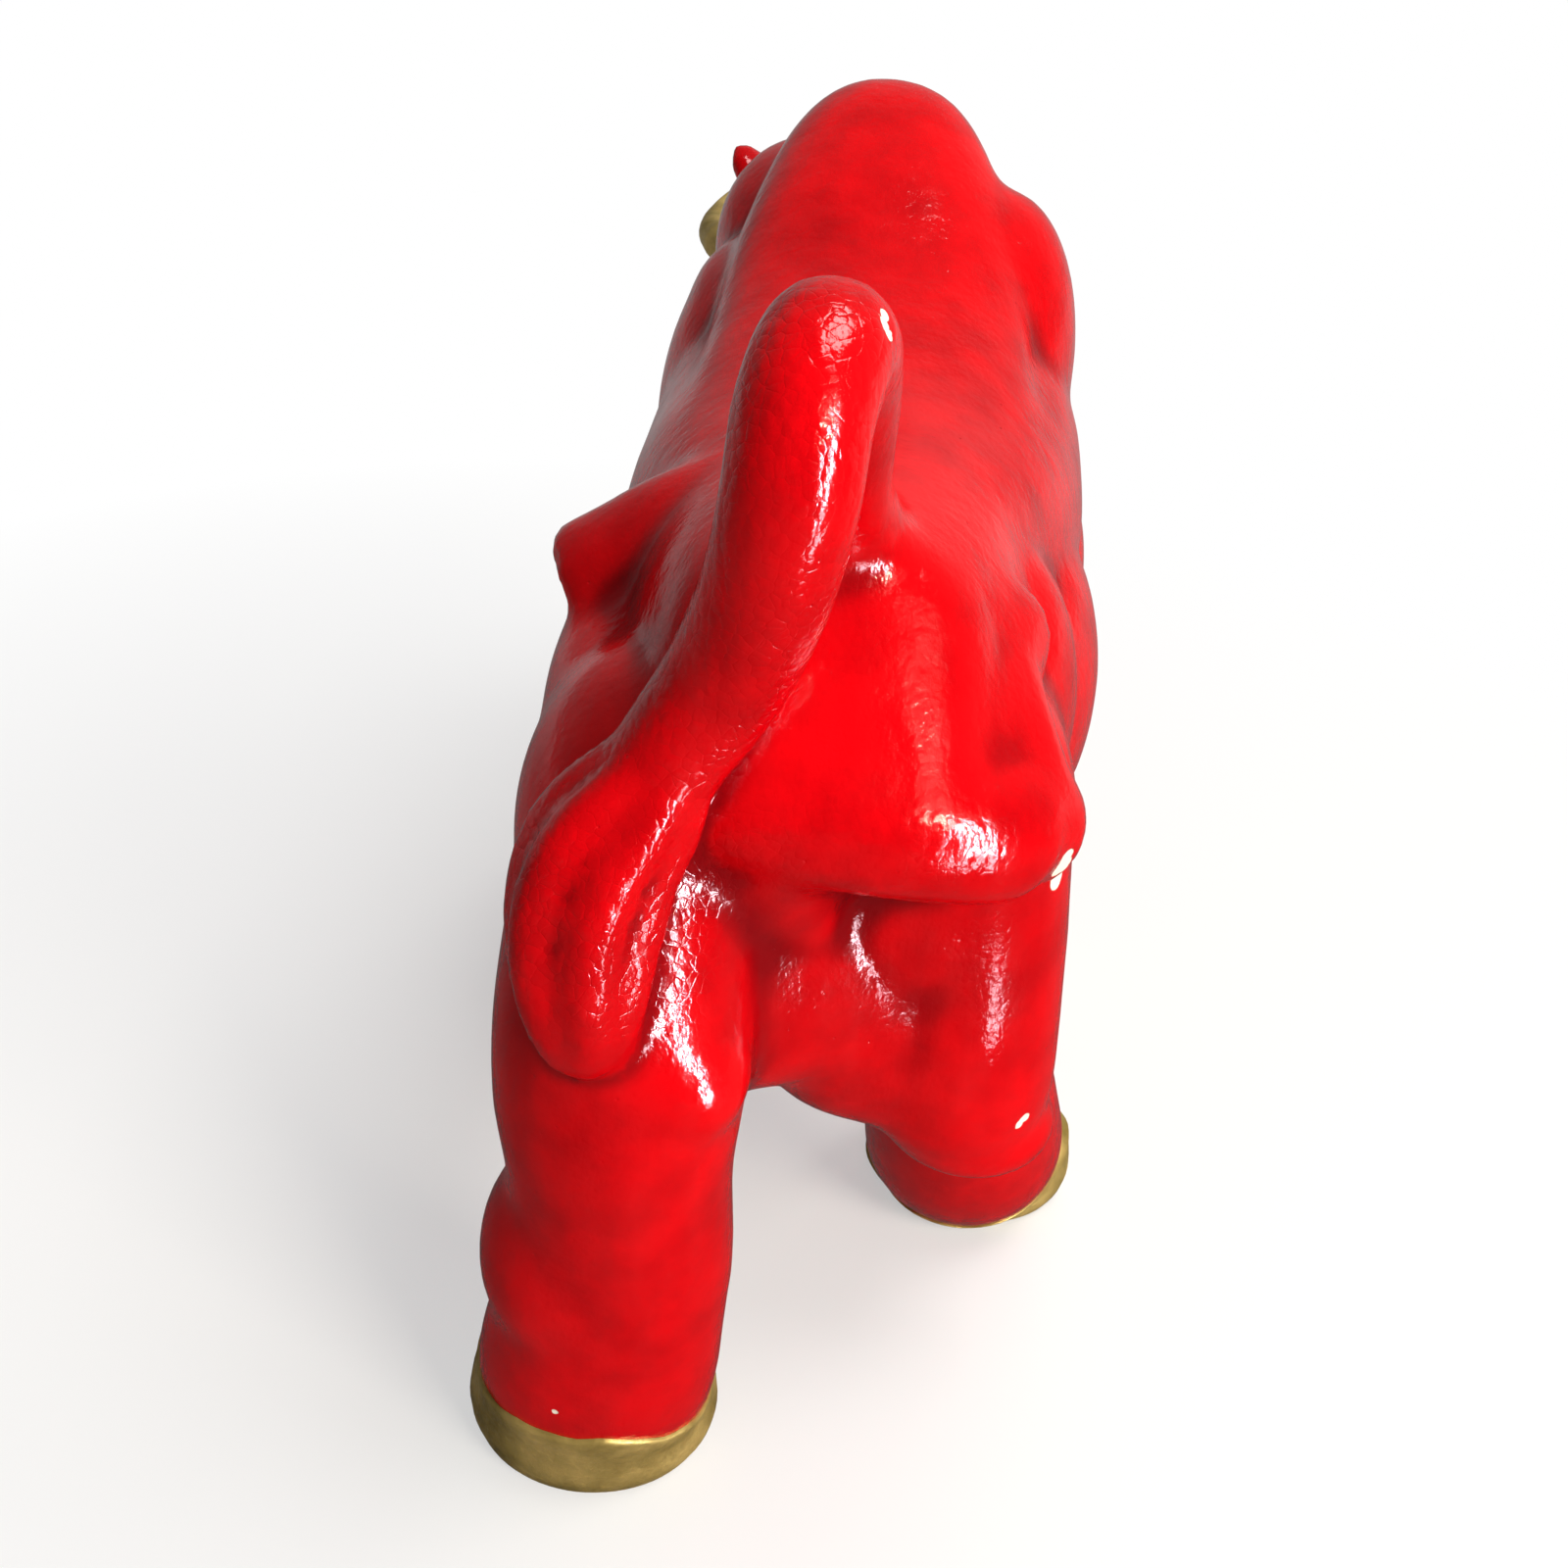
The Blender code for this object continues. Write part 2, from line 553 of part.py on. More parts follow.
def hoof(which, finish, collection, cutters, stance):
    """Flared hoof with an oval tenon on top and a cleft in front."""
    foot = Vector((*LEGS[which][-1][:2], 0))
    stretch = HOOF_HALF_LENGTH / HOOF_HALF_WIDTH
    profile = tenon_profile(0) + [
        (TENON_RADIUS, HOOF_HEIGHT),
        (HOOF_HALF_WIDTH - 1.5, HOOF_HEIGHT),
        (HOOF_HALF_WIDTH - 0.3, HOOF_HEIGHT - 2.5),
        (HOOF_HALF_WIDTH, HOOF_HEIGHT - 5),
        (HOOF_HALF_WIDTH - 0.3, 2),
        (HOOF_HALF_WIDTH - 2, 0),
        (0, 0),
    ]
    ob = turned(f"hoof_{which}", profile, foot, stretch, collection, stance)
    ob.data.materials.append(finish)
    wedge = bmesh.new()
    wedge_place = Matrix.Translation(foot + Vector((0, HOOF_HALF_LENGTH, 0)))
    bmesh.ops.create_cone(wedge, cap_ends=True, segments=3, radius1=2 * HOOF_CLEFT, radius2=HOOF_CLEFT,
                          depth=4 * HOOF_HEIGHT, matrix=wedge_place)
    cut(ob, as_cutter(mesh_object(f"cut_cleft_{which}", wedge, cutters, stance)), "DIFFERENCE")
    return ob


def hoof_socket(which, cutters, stance):
    foot = Vector((*LEGS[which][-1][:2], 0))
    stretch = HOOF_HALF_LENGTH / HOOF_HALF_WIDTH
    profile = tenon_profile(JOINT_GAP) + [(TENON_RADIUS + JOINT_GAP, 0), (0, 0)]
    return as_cutter(turned(f"cut_hoof_{which}", profile, foot, stretch, cutters, stance))


def build_tail(red, collection, cutters, stance):
    tail = tapered_tube("tail", TAIL_STATIONS, 0, Matrix(), collection, stance)
    tail.data.materials.append(red)
    bed = as_cutter(tapered_tube("cut_tail", TAIL_STATIONS, JOINT_GAP, Matrix(), cutters, stance))
    return tail, bed


def build_head(form, red, gold, collection, cutters, stance):
    head = part_from_form("head", form, red, collection, stance)
    cut(head, head_cutter(0, cutters, stance), "INTERSECT")
    parts = [head]
    for side, mirror in (("left", -1), ("right", 1)):
        stations = [(mirror * aside, *rest) for aside, *rest in HORN_STATIONS]
        horn = tapered_tube(f"horn_{side}", stations, 0, HEAD_PLACE, collection, stance)
        horn.data.materials.append(gold)
        socket = tapered_tube(f"cut_horn_{side}", stations, JOINT_GAP, HEAD_PLACE, cutters, stance)
        cut(head, as_cutter(socket), "DIFFERENCE")
        parts.append(horn)
        parts.append(build_ear(side, mirror, head, red, collection, cutters, stance))
    return parts


def build_legs(form, red, gold, collection, cutters, stance):
    parts = []
    for which in LEGS:
        leg = part_from_form(f"leg_{which}", form, red, collection, stance)
        cut(leg, leg_cutter(which, 0, HOOF_HEIGHT + JOINT_GAP, cutters, stance), "INTERSECT")
        cut(leg, hoof_socket(which, cutters, stance), "DIFFERENCE")
        parts.append(leg)
        parts.append(hoof(which, gold, collection, cutters, stance))
    return parts


def build_torso(form, red, bed, collection, cutters, stance):
    torso = part_from_form("torso", form, red, collection, stance)
    for which in LEGS:
        cut(torso, leg_cutter(which, JOINT_GAP, BELOW_FLOOR, cutters, stance), "DIFFERENCE")
    cut(torso, head_cutter(JOINT_GAP, cutters, stance), "DIFFERENCE")
    cut(torso, bed, "DIFFERENCE")
    return torso


def stand_on_origin(stance, parts):
    """Shift everything so that the origin lies under the middle of the figurine's box."""
    bpy.context.view_layer.update()
    graph = bpy.context.evaluated_depsgraph_get()
    points = []
    for ob in parts:
        evaluated = ob.evaluated_get(graph)
        points.extend(evaluated.matrix_world @ vertex.co for vertex in evaluated.data.vertices)
    for axis in (0, 1):
        values = [point[axis] for point in points]
        stance.location[axis] -= (min(values) + max(values)) / 2


def main():
    clear_scene()
    collection = new_collection("ceramic_bull_figurine")
    cutters = new_collection("cutters")
    stance = bpy.data.objects.new("stance", None)
    collection.objects.link(stance)
    red = new_finish("red_gloss", RED_GLOSS)
    gold = new_finish("gold_satin", GOLD_SATIN)
    form = fused_form(cutters, stance)
    tail, bed = build_tail(red, collection, cutters, stance)
    parts = [build_torso(form, red, bed, collection, cutters, stance), tail]
    parts += build_head(form, red, gold, collection, cutters, stance)
    parts += build_legs(form, red, gold, collection, cutters, stance)
    stand_on_origin(stance, parts)


main()
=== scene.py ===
# %% [markdown]
# # A ceramic bull figurine
#
# The figurine is a cast bull, about 25 cm long, that steps out with its head low and its tail thrown
# over the left haunch. Its white ceramic body is painted glossy red. The hooves and horns are gold.
#
# The lesson goes the way a maker would: first the clay form, then the tail and its tuft, the ears and
# the face, then hooves and horns, then the paint with its chips, and last the light and the camera.
# This first cell loads the measured frame that every piece has to fit.

# %% Load the frame
import math

import bmesh
import bpy
import numpy as np
from mathutils import Euler, Matrix, Vector
from mathutils.bvhtree import BVHTree


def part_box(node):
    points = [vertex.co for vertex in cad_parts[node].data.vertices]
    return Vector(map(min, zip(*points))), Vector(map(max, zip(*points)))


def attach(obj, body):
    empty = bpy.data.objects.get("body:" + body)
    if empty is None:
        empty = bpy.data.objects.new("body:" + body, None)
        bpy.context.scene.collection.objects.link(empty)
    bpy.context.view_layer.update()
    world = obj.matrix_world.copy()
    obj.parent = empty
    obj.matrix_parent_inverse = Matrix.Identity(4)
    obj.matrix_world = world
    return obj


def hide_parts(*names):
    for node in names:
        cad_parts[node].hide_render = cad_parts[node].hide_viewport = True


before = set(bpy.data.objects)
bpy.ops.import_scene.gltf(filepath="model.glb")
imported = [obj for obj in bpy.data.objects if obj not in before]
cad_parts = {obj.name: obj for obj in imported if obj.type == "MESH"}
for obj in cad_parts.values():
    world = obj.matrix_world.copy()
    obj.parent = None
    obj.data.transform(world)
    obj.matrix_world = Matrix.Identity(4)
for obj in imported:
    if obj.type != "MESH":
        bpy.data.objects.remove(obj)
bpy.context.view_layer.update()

MM = 0.001

# %% [markdown]
# ## From drawing millimetres to the frame
#
# All measures below are millimetres in the drawing that was taken off the photograph. The drawing's
# origin lies near the rump, and the frame's origin lies under the middle of the figurine. The rear left
# hoof is known in both, so the step from one to the other is read off that hoof. One matrix then does
# the scaling and the step together.

# %% Place of the drawing in the frame
HOOF_HALF_WIDTH = 18.5
HOOF_HALF_LENGTH = 16.5
LEFT_HOOF_DRAWN = Vector((-22, -71, 0))
hoof_low, hoof_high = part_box("hoof_hind_left")
hoof_found = Vector(((hoof_low[0] + hoof_high[0]) / 2, hoof_low[1] + HOOF_HALF_LENGTH * MM, 0))
STEP = hoof_found - LEFT_HOOF_DRAWN * MM
PLACE = Matrix.Translation(STEP) @ Matrix.Diagonal((MM, MM, MM, 1))
print("step from drawing to frame, mm", [round(value / MM, 2) for value in STEP])

# %% [markdown]
# ## Lumps, barrels and limbs
#
# An animal has no flat faces and no plain rounds, so box modelling would take long here. It can be
# sculpted by hand, or built like a clay model: rough lumps are pressed together and then smoothed over.
# The script takes the second way, because every lump stays a line of numbers that can be corrected.
# A barrel is a skin through upright sections, a limb is a skin through sections square to its path, and
# a lump is a stretched ball. A Catmull-Rom curve runs through the given stations, so that few of them
# make a smooth shape.

# %% Clay tools
RING_POINTS = 28
SPAN_STEPS = 4
LUMP_MERIDIANS = 28
LUMP_PARALLELS = 16
RELAX_FACTOR = 0.5
# a limb that heads along X more than this takes its sections' direction from Z
SIDEWAYS = 0.7
AXIS_X = Vector((1, 0, 0))
AXIS_Z = Vector((0, 0, 1))


def smooth_stations(stations, steps=SPAN_STEPS):
    """Rows of numbers on a Catmull-Rom curve through the stations."""
    rows = []
    last = len(stations) - 1
    for index in range(last):
        a = np.array(stations[max(index - 1, 0)], float)
        b = np.array(stations[index], float)
        c = np.array(stations[index + 1], float)
        d = np.array(stations[min(index + 2, last)], float)
        for t in np.arange(steps) / steps:
            square = 2 * a - 5 * b + 4 * c - d
            cube = 3 * b - a - 3 * c + d
            rows.append((2 * b + (c - a) * t + square * t**2 + cube * t**3) / 2)
    rows.append(np.array(stations[-1], float))
    return rows


def section_ring(centre, side, up, half_width, half_height, squareness=2.0):
    """Points of one superellipse section: squareness 2 is an ellipse, more is boxier."""
    points = []
    for index in range(RING_POINTS):
        angle = math.tau * index / RING_POINTS
        across = math.copysign(abs(math.cos(angle)) ** (2 / squareness), math.cos(angle))
        upward = math.copysign(abs(math.sin(angle)) ** (2 / squareness), math.sin(angle))
        points.append(centre + side * half_width * across + up * half_height * upward)
    return points


def add_loft(clay, rings):
    """Closed skin through rings of equal point count."""
    count = len(rings[0])
    loops = [[clay.verts.new(point) for point in ring] for ring in rings]
    faces = [clay.faces.new(loops[0]), clay.faces.new(loops[-1])]
    for lower, upper in zip(loops, loops[1:]):
        for index in range(count):
            after = (index + 1) % count
            faces.append(clay.faces.new((lower[index], lower[after], upper[after], upper[index])))
    bmesh.ops.recalc_face_normals(clay, faces=faces)


def add_barrel(clay, sections, place=Matrix()):
    """Loft with upright sections along Y: the torso, the back and the head."""
    rings = []
    for along, aside, top, bottom, half_width, squareness in smooth_stations(sections):
        centre = Vector((aside, along, (top + bottom) / 2))
        half_height = (top - bottom) / 2
        ring = section_ring(centre, AXIS_X, AXIS_Z, half_width, half_height, squareness)
        rings.append([place @ point for point in ring])
    add_loft(clay, rings)


def add_limb(clay, stations, place=Matrix(), squareness=2.0):
    """Loft with sections square to its path: legs, neck, ridges and tail."""
    rows = smooth_stations(stations)
    centres = [Vector(row[:3]) for row in rows]
    rings = []
    for index, row in enumerate(rows):
        heading = (centres[min(index + 1, len(rows) - 1)] - centres[max(index - 1, 0)]).normalized()
        reference = AXIS_Z if abs(heading.x) > SIDEWAYS else AXIS_X
        side = (reference - heading * reference.dot(heading)).normalized()
        ring = section_ring(centres[index], side, heading.cross(side), row[3], row[-1], squareness)
        rings.append([place @ point for point in ring])
    add_loft(clay, rings)


def add_lump(clay, centre, radii, place=Matrix()):
    matrix = place @ Matrix.LocRotScale(Vector(centre), None, Vector(radii))
    bmesh.ops.create_uvsphere(clay, u_segments=LUMP_MERIDIANS, v_segments=LUMP_PARALLELS, radius=1.0,
                              matrix=matrix)


def mesh_of(name, clay):
    """Mesh in the frame, from clay worked in drawing millimetres."""
    bmesh.ops.transform(clay, matrix=PLACE, verts=clay.verts)
    mesh = bpy.data.meshes.new(name)
    clay.to_mesh(mesh)
    clay.free()
    return mesh


def shown(name, mesh):
    ob = bpy.data.objects.new(name, mesh)
    bpy.context.scene.collection.objects.link(ob)
    return ob


def evaluated_mesh(ob):
    """Mesh of an object with its modifiers applied, and the object taken away."""
    graph = bpy.context.evaluated_depsgraph_get()
    mesh = bpy.data.meshes.new_from_object(ob.evaluated_get(graph))
    bpy.data.objects.remove(ob)
    return mesh


def fused(name, mesh, voxel, relax_steps):
    """Everything in the mesh melted into one skin on a voxel grid, then relaxed."""
    ob = shown(name, mesh)
    melt = ob.modifiers.new("melt", "REMESH")
    melt.mode = "VOXEL"
    melt.voxel_size = voxel * MM
    relax = ob.modifiers.new("relax", "SMOOTH")
    relax.factor = RELAX_FACTOR
    relax.iterations = relax_steps
    return evaluated_mesh(ob)


print("clay tools ready")

# %% [markdown]
# ## Torso and back
#
# The torso is one long barrel from the buttocks to the neck. A second, narrower barrel lies on it: the
# flat back that climbs in one plane from the rump to the hump. Muscles and bones come as lumps, and
# the crests of hip and rump as ridges, which are short limbs laid on the body.

# %% Torso clay
CROUP_HEIGHT = 139.0
HUMP_HEIGHT = 170.0
CHEST_HALF_WIDTH = 39.0

# along, aside, top, bottom, half width, squareness
TORSO_SECTIONS = (
    (-79, 2, CROUP_HEIGHT - 29, 106, 12, 2.0),
    (-76, 1, CROUP_HEIGHT - 23, 102, CHEST_HALF_WIDTH - 22, 2.1),
    (-71, 0, CROUP_HEIGHT - 15, 99, CHEST_HALF_WIDTH - 20.5, 2.3),
    (-65, -1, CROUP_HEIGHT - 6, 95, CHEST_HALF_WIDTH - 18.5, 2.3),
    (-60, -1, CROUP_HEIGHT, 88, CHEST_HALF_WIDTH - 17.9, 2.4),
    (-50, -1, CROUP_HEIGHT + 0.5, 76, CHEST_HALF_WIDTH - 14.7, 2.6),
    (-40, -0.5, CROUP_HEIGHT + 0.5, 70, CHEST_HALF_WIDTH - 12, 2.5),
    (-25, 0, CROUP_HEIGHT, 66, CHEST_HALF_WIDTH - 11, 2.8),
    (0, 1, CROUP_HEIGHT, 60, CHEST_HALF_WIDTH - 4, 2.8),
    (25, 3, CROUP_HEIGHT + 1, 56, CHEST_HALF_WIDTH - 0.5, 2.6),
    (50, 4, CROUP_HEIGHT + 6, 55, CHEST_HALF_WIDTH, 2.4),
    (72, 3, CROUP_HEIGHT + 9, 57, CHEST_HALF_WIDTH - 3, 2.2),
    (92, -1, CROUP_HEIGHT + 8, 64, CHEST_HALF_WIDTH - 9, 2.0),
    (108, -5, CROUP_HEIGHT + 2, 80, CHEST_HALF_WIDTH - 15, 2.0),
)
BACK_SECTIONS = (
    (-42, 0, CROUP_HEIGHT - 6, 104, 18, 2.4),
    (-20, 0, CROUP_HEIGHT - 1, 101, 24, 2.6),
    (5, 1, CROUP_HEIGHT + 2, 100, 28, 2.6),
    (30, 2, HUMP_HEIGHT - 21, 104, 27.5, 2.5),
    (52, 2, HUMP_HEIGHT - 8, 110, 25.5, 2.4),
    (70, 1.5, HUMP_HEIGHT + 0.5, 114, 21.5, 2.3),
    (84, 1.5, HUMP_HEIGHT - 2, 115, 18.5, 2.2),
    (96, -1, HUMP_HEIGHT - 15, 113, 15.5, 2.1),
    (104, -4, HUMP_HEIGHT - 26, 110, 14, 2.0),
)
# middle and radii of each lump
TORSO_LUMPS = {
    "neck_left": ((-12, 86, HUMP_HEIGHT - 32), (17, 22, 20)),
    "hip_right": ((18.5, -44.5, 119), (9, 9.5, 10.5)),
    "haunch_left": ((-20, -57, 97), (17.5, 24, 24)),
    "haunch_right": ((18.5, -43, 92), (17.5, 19, 26)),
    "shoulder_top_left": ((-18, 60, 131), (13, 22, 14)),
    "shoulder_left": ((-19, 58, 112), (16, 26, 32)),
    "shoulder_right": ((22.6, 61, 124.5), (17, 26, 32.5)),
    "upper_arm_left": ((-25, 62, 88), (15, 24, 28)),
    "upper_arm_right": ((31, 55, 88), (17, 24, 28)),
    "ribs_left": ((-18, 6, 92), (20, 38, 30)),
    "ribs_right": ((24, 6, 92), (20, 38, 30)),
    "flank_right": ((19.5, -23, 100), (17, 22, 27)),
    "flank_left": ((-21, -15, 94), (15.5, 22, 23)),
    "recess": ((11, -50, 84), (21, 13, 19)),
    "sheath": ((1, -8, 61), (7, 16, 7)),
    "brisket": ((1, 83, 76), (22, 15, 18)),
    "dewlap": ((-4, 99, 88), (8, 15, 23)),
}
# stations along each ridge: across, along, height, half width, half thickness
TORSO_RIDGES = {
    "hip_left": ((-32, -29, 111, 13.5, 11), (-25.5, -28.5, 115.7, 13, 11.5),
                 (-18.5, -27.5, 120.8, 12.5, 12), (-4, -26, 127, 12.5, 12)),
    "hip_slope_left": ((-25, -28, 107, 12, 11), (-24, -42, 106, 13, 13), (-20.5, -57, 98.5, 15.5, 19)),
    "flank_left": ((-23, -30, 108, 14, 12), (-22, -40, 88, 14, 14), (-20, -50, 74, 13, 14)),
    "sacrum_right": ((-2, -56.5, 132.5, 7, 7), (8, -53.5, 129.5, 7, 7), (17.5, -48, 123, 7, 7),
                     (22, -40, 120.5, 7, 7)),
    "buttock": ((-6, -69, 109, 9.5, 9.5), (10, -69.5, 108.5, 9.5, 9.5), (23, -64, 106, 9.5, 9.5),
                (27, -56, 104, 7, 7)),
    "pin_line_right": ((19, -48.5, 121, 6, 6), (22.5, -57, 114.5, 6, 6), (26.5, -63.5, 107, 6, 6)),
    "tail_root": ((0, -36, 112, 15, 15), (-1, -49, 128, 12, 12), (-1.5, -56, 138, 8.5, 8.5),
                  (-2.5, -62, 147, 6, 6)),
    "perineal_ridge": ((-8, -69, 104, 12, 8), (-8, -64, 92, 13, 7.5), (-8, -60, 80, 14, 7)),
    "seat": ((-22, -66, 77, 18.5, 13), (-9, -61, 77, 18.5, 13), (3, -54, 73, 17, 13), (13, -50, 67, 20, 13),
             (24, -47, 62, 19, 14)),
    "thigh_right": ((21, -43, 98, 14, 18), (22.5, -45, 80, 15, 16), (24, -47.5, 64, 15, 15.5),
                    (26, -48.5, 51, 14, 13.5), (27, -48.5, 45, 10, 10)),
    "gaskin_right": ((19, -22, 94, 15, 22), (23, -31, 76, 14.5, 21.5), (26, -36, 60, 13.5, 19),
                     (28.5, -37, 47, 12.5, 15.5), (30, -32, 36, 12, 12.5)),
    "croup_right": ((8, -46, 120, 15, 15), (13, -57, 113, 13, 13), (17, -63, 107, 10, 10)),
    "rump_right": ((13, -46, 121, 11, 11), (17, -53, 116, 10, 10), (20, -59, 108.5, 9.5, 9.5),
                   (20, -61, 102, 9, 9)),
    "neck": ((1, 70, 112, 33, 44), (-3, 92, 117, 27, 36), (-7, 110, 119, 21, 28), (-9, 120, 116, 17, 23)),
}

clay = bmesh.new()
add_barrel(clay, TORSO_SECTIONS)
add_barrel(clay, BACK_SECTIONS)
for centre, radii in TORSO_LUMPS.values():
    add_lump(clay, centre, radii)
for stations in TORSO_RIDGES.values():
    add_limb(clay, stations)
print("torso clay", len(clay.verts), "points")

# %% [markdown]
# ## Legs
#
# Each leg is one limb that starts inside the body and ends near the floor, where the hoof hides it.
# The bull steps out: the left hind leg stays behind, the right one is set far forward. Joints are
# lumps, because a hock or a fetlock is a knob on the leg and not a wider place all round.

# %% Leg clay
LEG_HALF_WIDTH = 15.0
LEGS = {
    "hind_left": (
        (-20.5, -58, 98, LEG_HALF_WIDTH + 0.5, 22),
        (-20.6, -72, 80, LEG_HALF_WIDTH + 1.3, 18),
        (-20.2, -76.5, 68, LEG_HALF_WIDTH + 1, 15),
        (-19.6, -77, 57, LEG_HALF_WIDTH - 0.2, 13.5),
        (-19.3, -76, 42, LEG_HALF_WIDTH + 0.8, 13.5),
        (-20, -76, 29, LEG_HALF_WIDTH + 1.4, 13.5),
        (-21.2, -74.5, 17, LEG_HALF_WIDTH + 2.4, 14.5),
        (-22, -71, 5, LEG_HALF_WIDTH + 1.5, 14),
        (-22, -71, 2.5, LEG_HALF_WIDTH + 1, 14),
    ),
    "hind_right": (
        (24, -36, 64, LEG_HALF_WIDTH - 2, 13),
        (28, -32, 46, LEG_HALF_WIDTH - 1, 13.5),
        (31, -27, 30, LEG_HALF_WIDTH + 1, 14.5),
        (33.8, -20, 16, LEG_HALF_WIDTH + 2.2, 16),
        (36, -12, 6, LEG_HALF_WIDTH + 1, 14.5),
        (36, -12, 2.5, LEG_HALF_WIDTH + 0.5, 14),
    ),
    "front_left": (
        (-24, 60, 92, LEG_HALF_WIDTH + 1, 22),
        (-28, 66, 70, LEG_HALF_WIDTH + 1, 18),
        (-30, 72, 54, LEG_HALF_WIDTH - 1, 14),
        (-31, 77, 42, LEG_HALF_WIDTH, 14.5),
        (-31.5, 81, 28, LEG_HALF_WIDTH - 2, 12),
        (-32, 84, 14, LEG_HALF_WIDTH + 1.5, 14),
        (-32, 86, 4, LEG_HALF_WIDTH + 1, 14),
        (-32, 86, 2.5, LEG_HALF_WIDTH + 1, 14),
    ),
    "front_right": (
        (30, 54, 92, LEG_HALF_WIDTH + 2, 22),
        (36, 53, 70, LEG_HALF_WIDTH + 1.5, 18),
        (38, 53, 54, LEG_HALF_WIDTH - 0.5, 14),
        (39, 54, 42, LEG_HALF_WIDTH + 0.5, 14.5),
        (39, 53, 28, LEG_HALF_WIDTH - 2, 12),
        (39, 53, 14, LEG_HALF_WIDTH + 1.5, 14),
        (39, 55, 4, LEG_HALF_WIDTH + 1, 14),
        (39, 55, 2.5, LEG_HALF_WIDTH + 1, 14),
    ),
}
LEG_LUMPS = {
    "hock_left": ((-25.5, -76.5, 40), (12.6, 13, 18)),
    "hock_right": ((28.5, -48, 46), (13.5, 12, 8)),
    "gaskin_left": ((-13, -80, 76), (9.5, 10, 9)),
    "knee_left": ((-30, 84, 44), (11, 8, 12)),
    "knee_right": ((39, 62, 44), (11, 8, 12)),
}

for stations in LEGS.values():
    add_limb(clay, stations)
for centre, radii in LEG_LUMPS.values():
    add_lump(clay, centre, radii)
print("with legs", len(clay.verts), "points")

# %% [markdown]
# ## Head
#
# The head hangs low and looks a little to the left. It is worked in its own frame, with the origin on
# the poll, Y running down the face and Z out of the forehead, so that it stays symmetric and one
# matrix turns it into place. Brows, cheeks and nostrils come in pairs. A tuft of curls lies on the poll.

# %% Head clay
POLL = Vector((-7, 114, 140))
HEAD_TURN = Euler((math.radians(-50), 0, math.radians(12)))
HEAD_PLACE = Matrix.LocRotScale(POLL, HEAD_TURN, None)
HEAD_SECTIONS = (
    (-14, 0, -3, -46, 20, 2.3),
    (0, 0, 1, -46, 20.5, 2.4),
    (14, 0, 2, -43, 19.5, 2.5),
    (30, 0, -1, -36, 16, 2.4),
    (46, 0, -6, -31, 13, 2.4),
    (57, 0, -8, -30, 14.5, 2.4),
    (65, 0, -12, -26, 11, 2.4),
)
HEAD_LUMPS = (
    ((0, -4, -1), (13, 12, 6)),
    ((0, 57, -18), (15.5, 9, 12)),
    ((0, 50, -28), (9, 12, 6)),
)
HEAD_PAIRS = (
    ((12.5, 15, -2), (7, 8.5, 5)),
    ((12, 12, -28), (9, 15, 14)),
    ((8, 61, -13), (5.5, 5, 5.5)),
)

add_barrel(clay, HEAD_SECTIONS, HEAD_PLACE)
for centre, radii in HEAD_LUMPS:
    add_lump(clay, centre, radii, HEAD_PLACE)
for (aside, along, height), radii in HEAD_PAIRS:
    for mirror in (-1, 1):
        add_lump(clay, (mirror * aside, along, height), radii, HEAD_PLACE)
print("with head", len(clay.verts), "points")

# %% [markdown]
# ## Melting the clay into one skin
#
# The lumps overlap, so they are melted together on a voxel grid with the Remesh modifier, and a Smooth
# modifier then relaxes the seams, as a wet thumb would. Many relax steps round every edge, so only the
# soft forms go through this first melt. The sharp ones join later.

# %% First melt
SOFT_VOXEL = 1.4
SOFT_RELAX_STEPS = 12

body = fused("body_clay", mesh_of("body_clay", clay), SOFT_VOXEL, SOFT_RELAX_STEPS)
print("soft body", len(body.polygons), "faces")

# %% [markdown]
# ## Tail and tuft
#
# The tail is a rolled coil: it rises from the rump, arches over and falls across the left haunch. Its
# core is a limb through measured stations.
#
# The tuft is a bundle of hair locks that repeat around the end of the coil. That is work for Geometry
# Nodes: the end of the tail's path is duplicated once per lock, every copy is pushed out around the
# path, most in the middle and not at all at the tip, and a round profile is swept along it. The number
# of locks, their spread, thickness and twist are inputs of the group.

# %% Tail
TAIL_RADIUS = 6.8
TAIL_STATIONS = (
    (-1, -46, 118, TAIL_RADIUS),
    (-1, -53, 131, TAIL_RADIUS),
    (-1.3, -58, 139, TAIL_RADIUS - 0.4),
    (-2, -63, 148, TAIL_RADIUS - 0.8),
    (-3.2, -70, 159.5, TAIL_RADIUS - 0.2),
    (-4.5, -78, 164.5, TAIL_RADIUS),
    (-6, -84, 160.5, TAIL_RADIUS),
    (-6.5, -86, 152, TAIL_RADIUS),
    (-8, -83, 141, TAIL_RADIUS),
    (-11.5, -79, 129, TAIL_RADIUS),
    (-17, -80, 119, TAIL_RADIUS - 0.5),
    (-22.5, -82, 109, TAIL_RADIUS - 1.2),
    (-24.5, -84.5, 100, TAIL_RADIUS - 1.6),
    (-24, -87, 92, TAIL_RADIUS - 2.5),
    (-23, -88.5, 87, TAIL_RADIUS - 4),
)
TUFT_PATH = (
    (-15, -80, 122), (-19, -81, 115), (-23, -82.5, 108),
    (-24.5, -84.5, 100), (-24, -87, 92), (-22.5, -89, 83),
)
LOCK_POINTS = 40
LOCK_SIDES = 16
LOCK_LEAST = 0.8 * MM


def add_node(tree, kind, inputs=(), **settings):
    """One node with its settings and its inputs, by name or in order.

    An input is a value, a socket, or another node, which stands for its first output.
    """
    made = tree.nodes.new(kind)
    for key, value in settings.items():
        setattr(made, key, value)
    for key, value in inputs.items() if isinstance(inputs, dict) else enumerate(inputs):
        if isinstance(value, bpy.types.Node):
            value = value.outputs[0]
        if isinstance(value, bpy.types.NodeSocket):
            tree.links.new(value, made.inputs[key])
        else:
            made.inputs[key].default_value = value
    return made


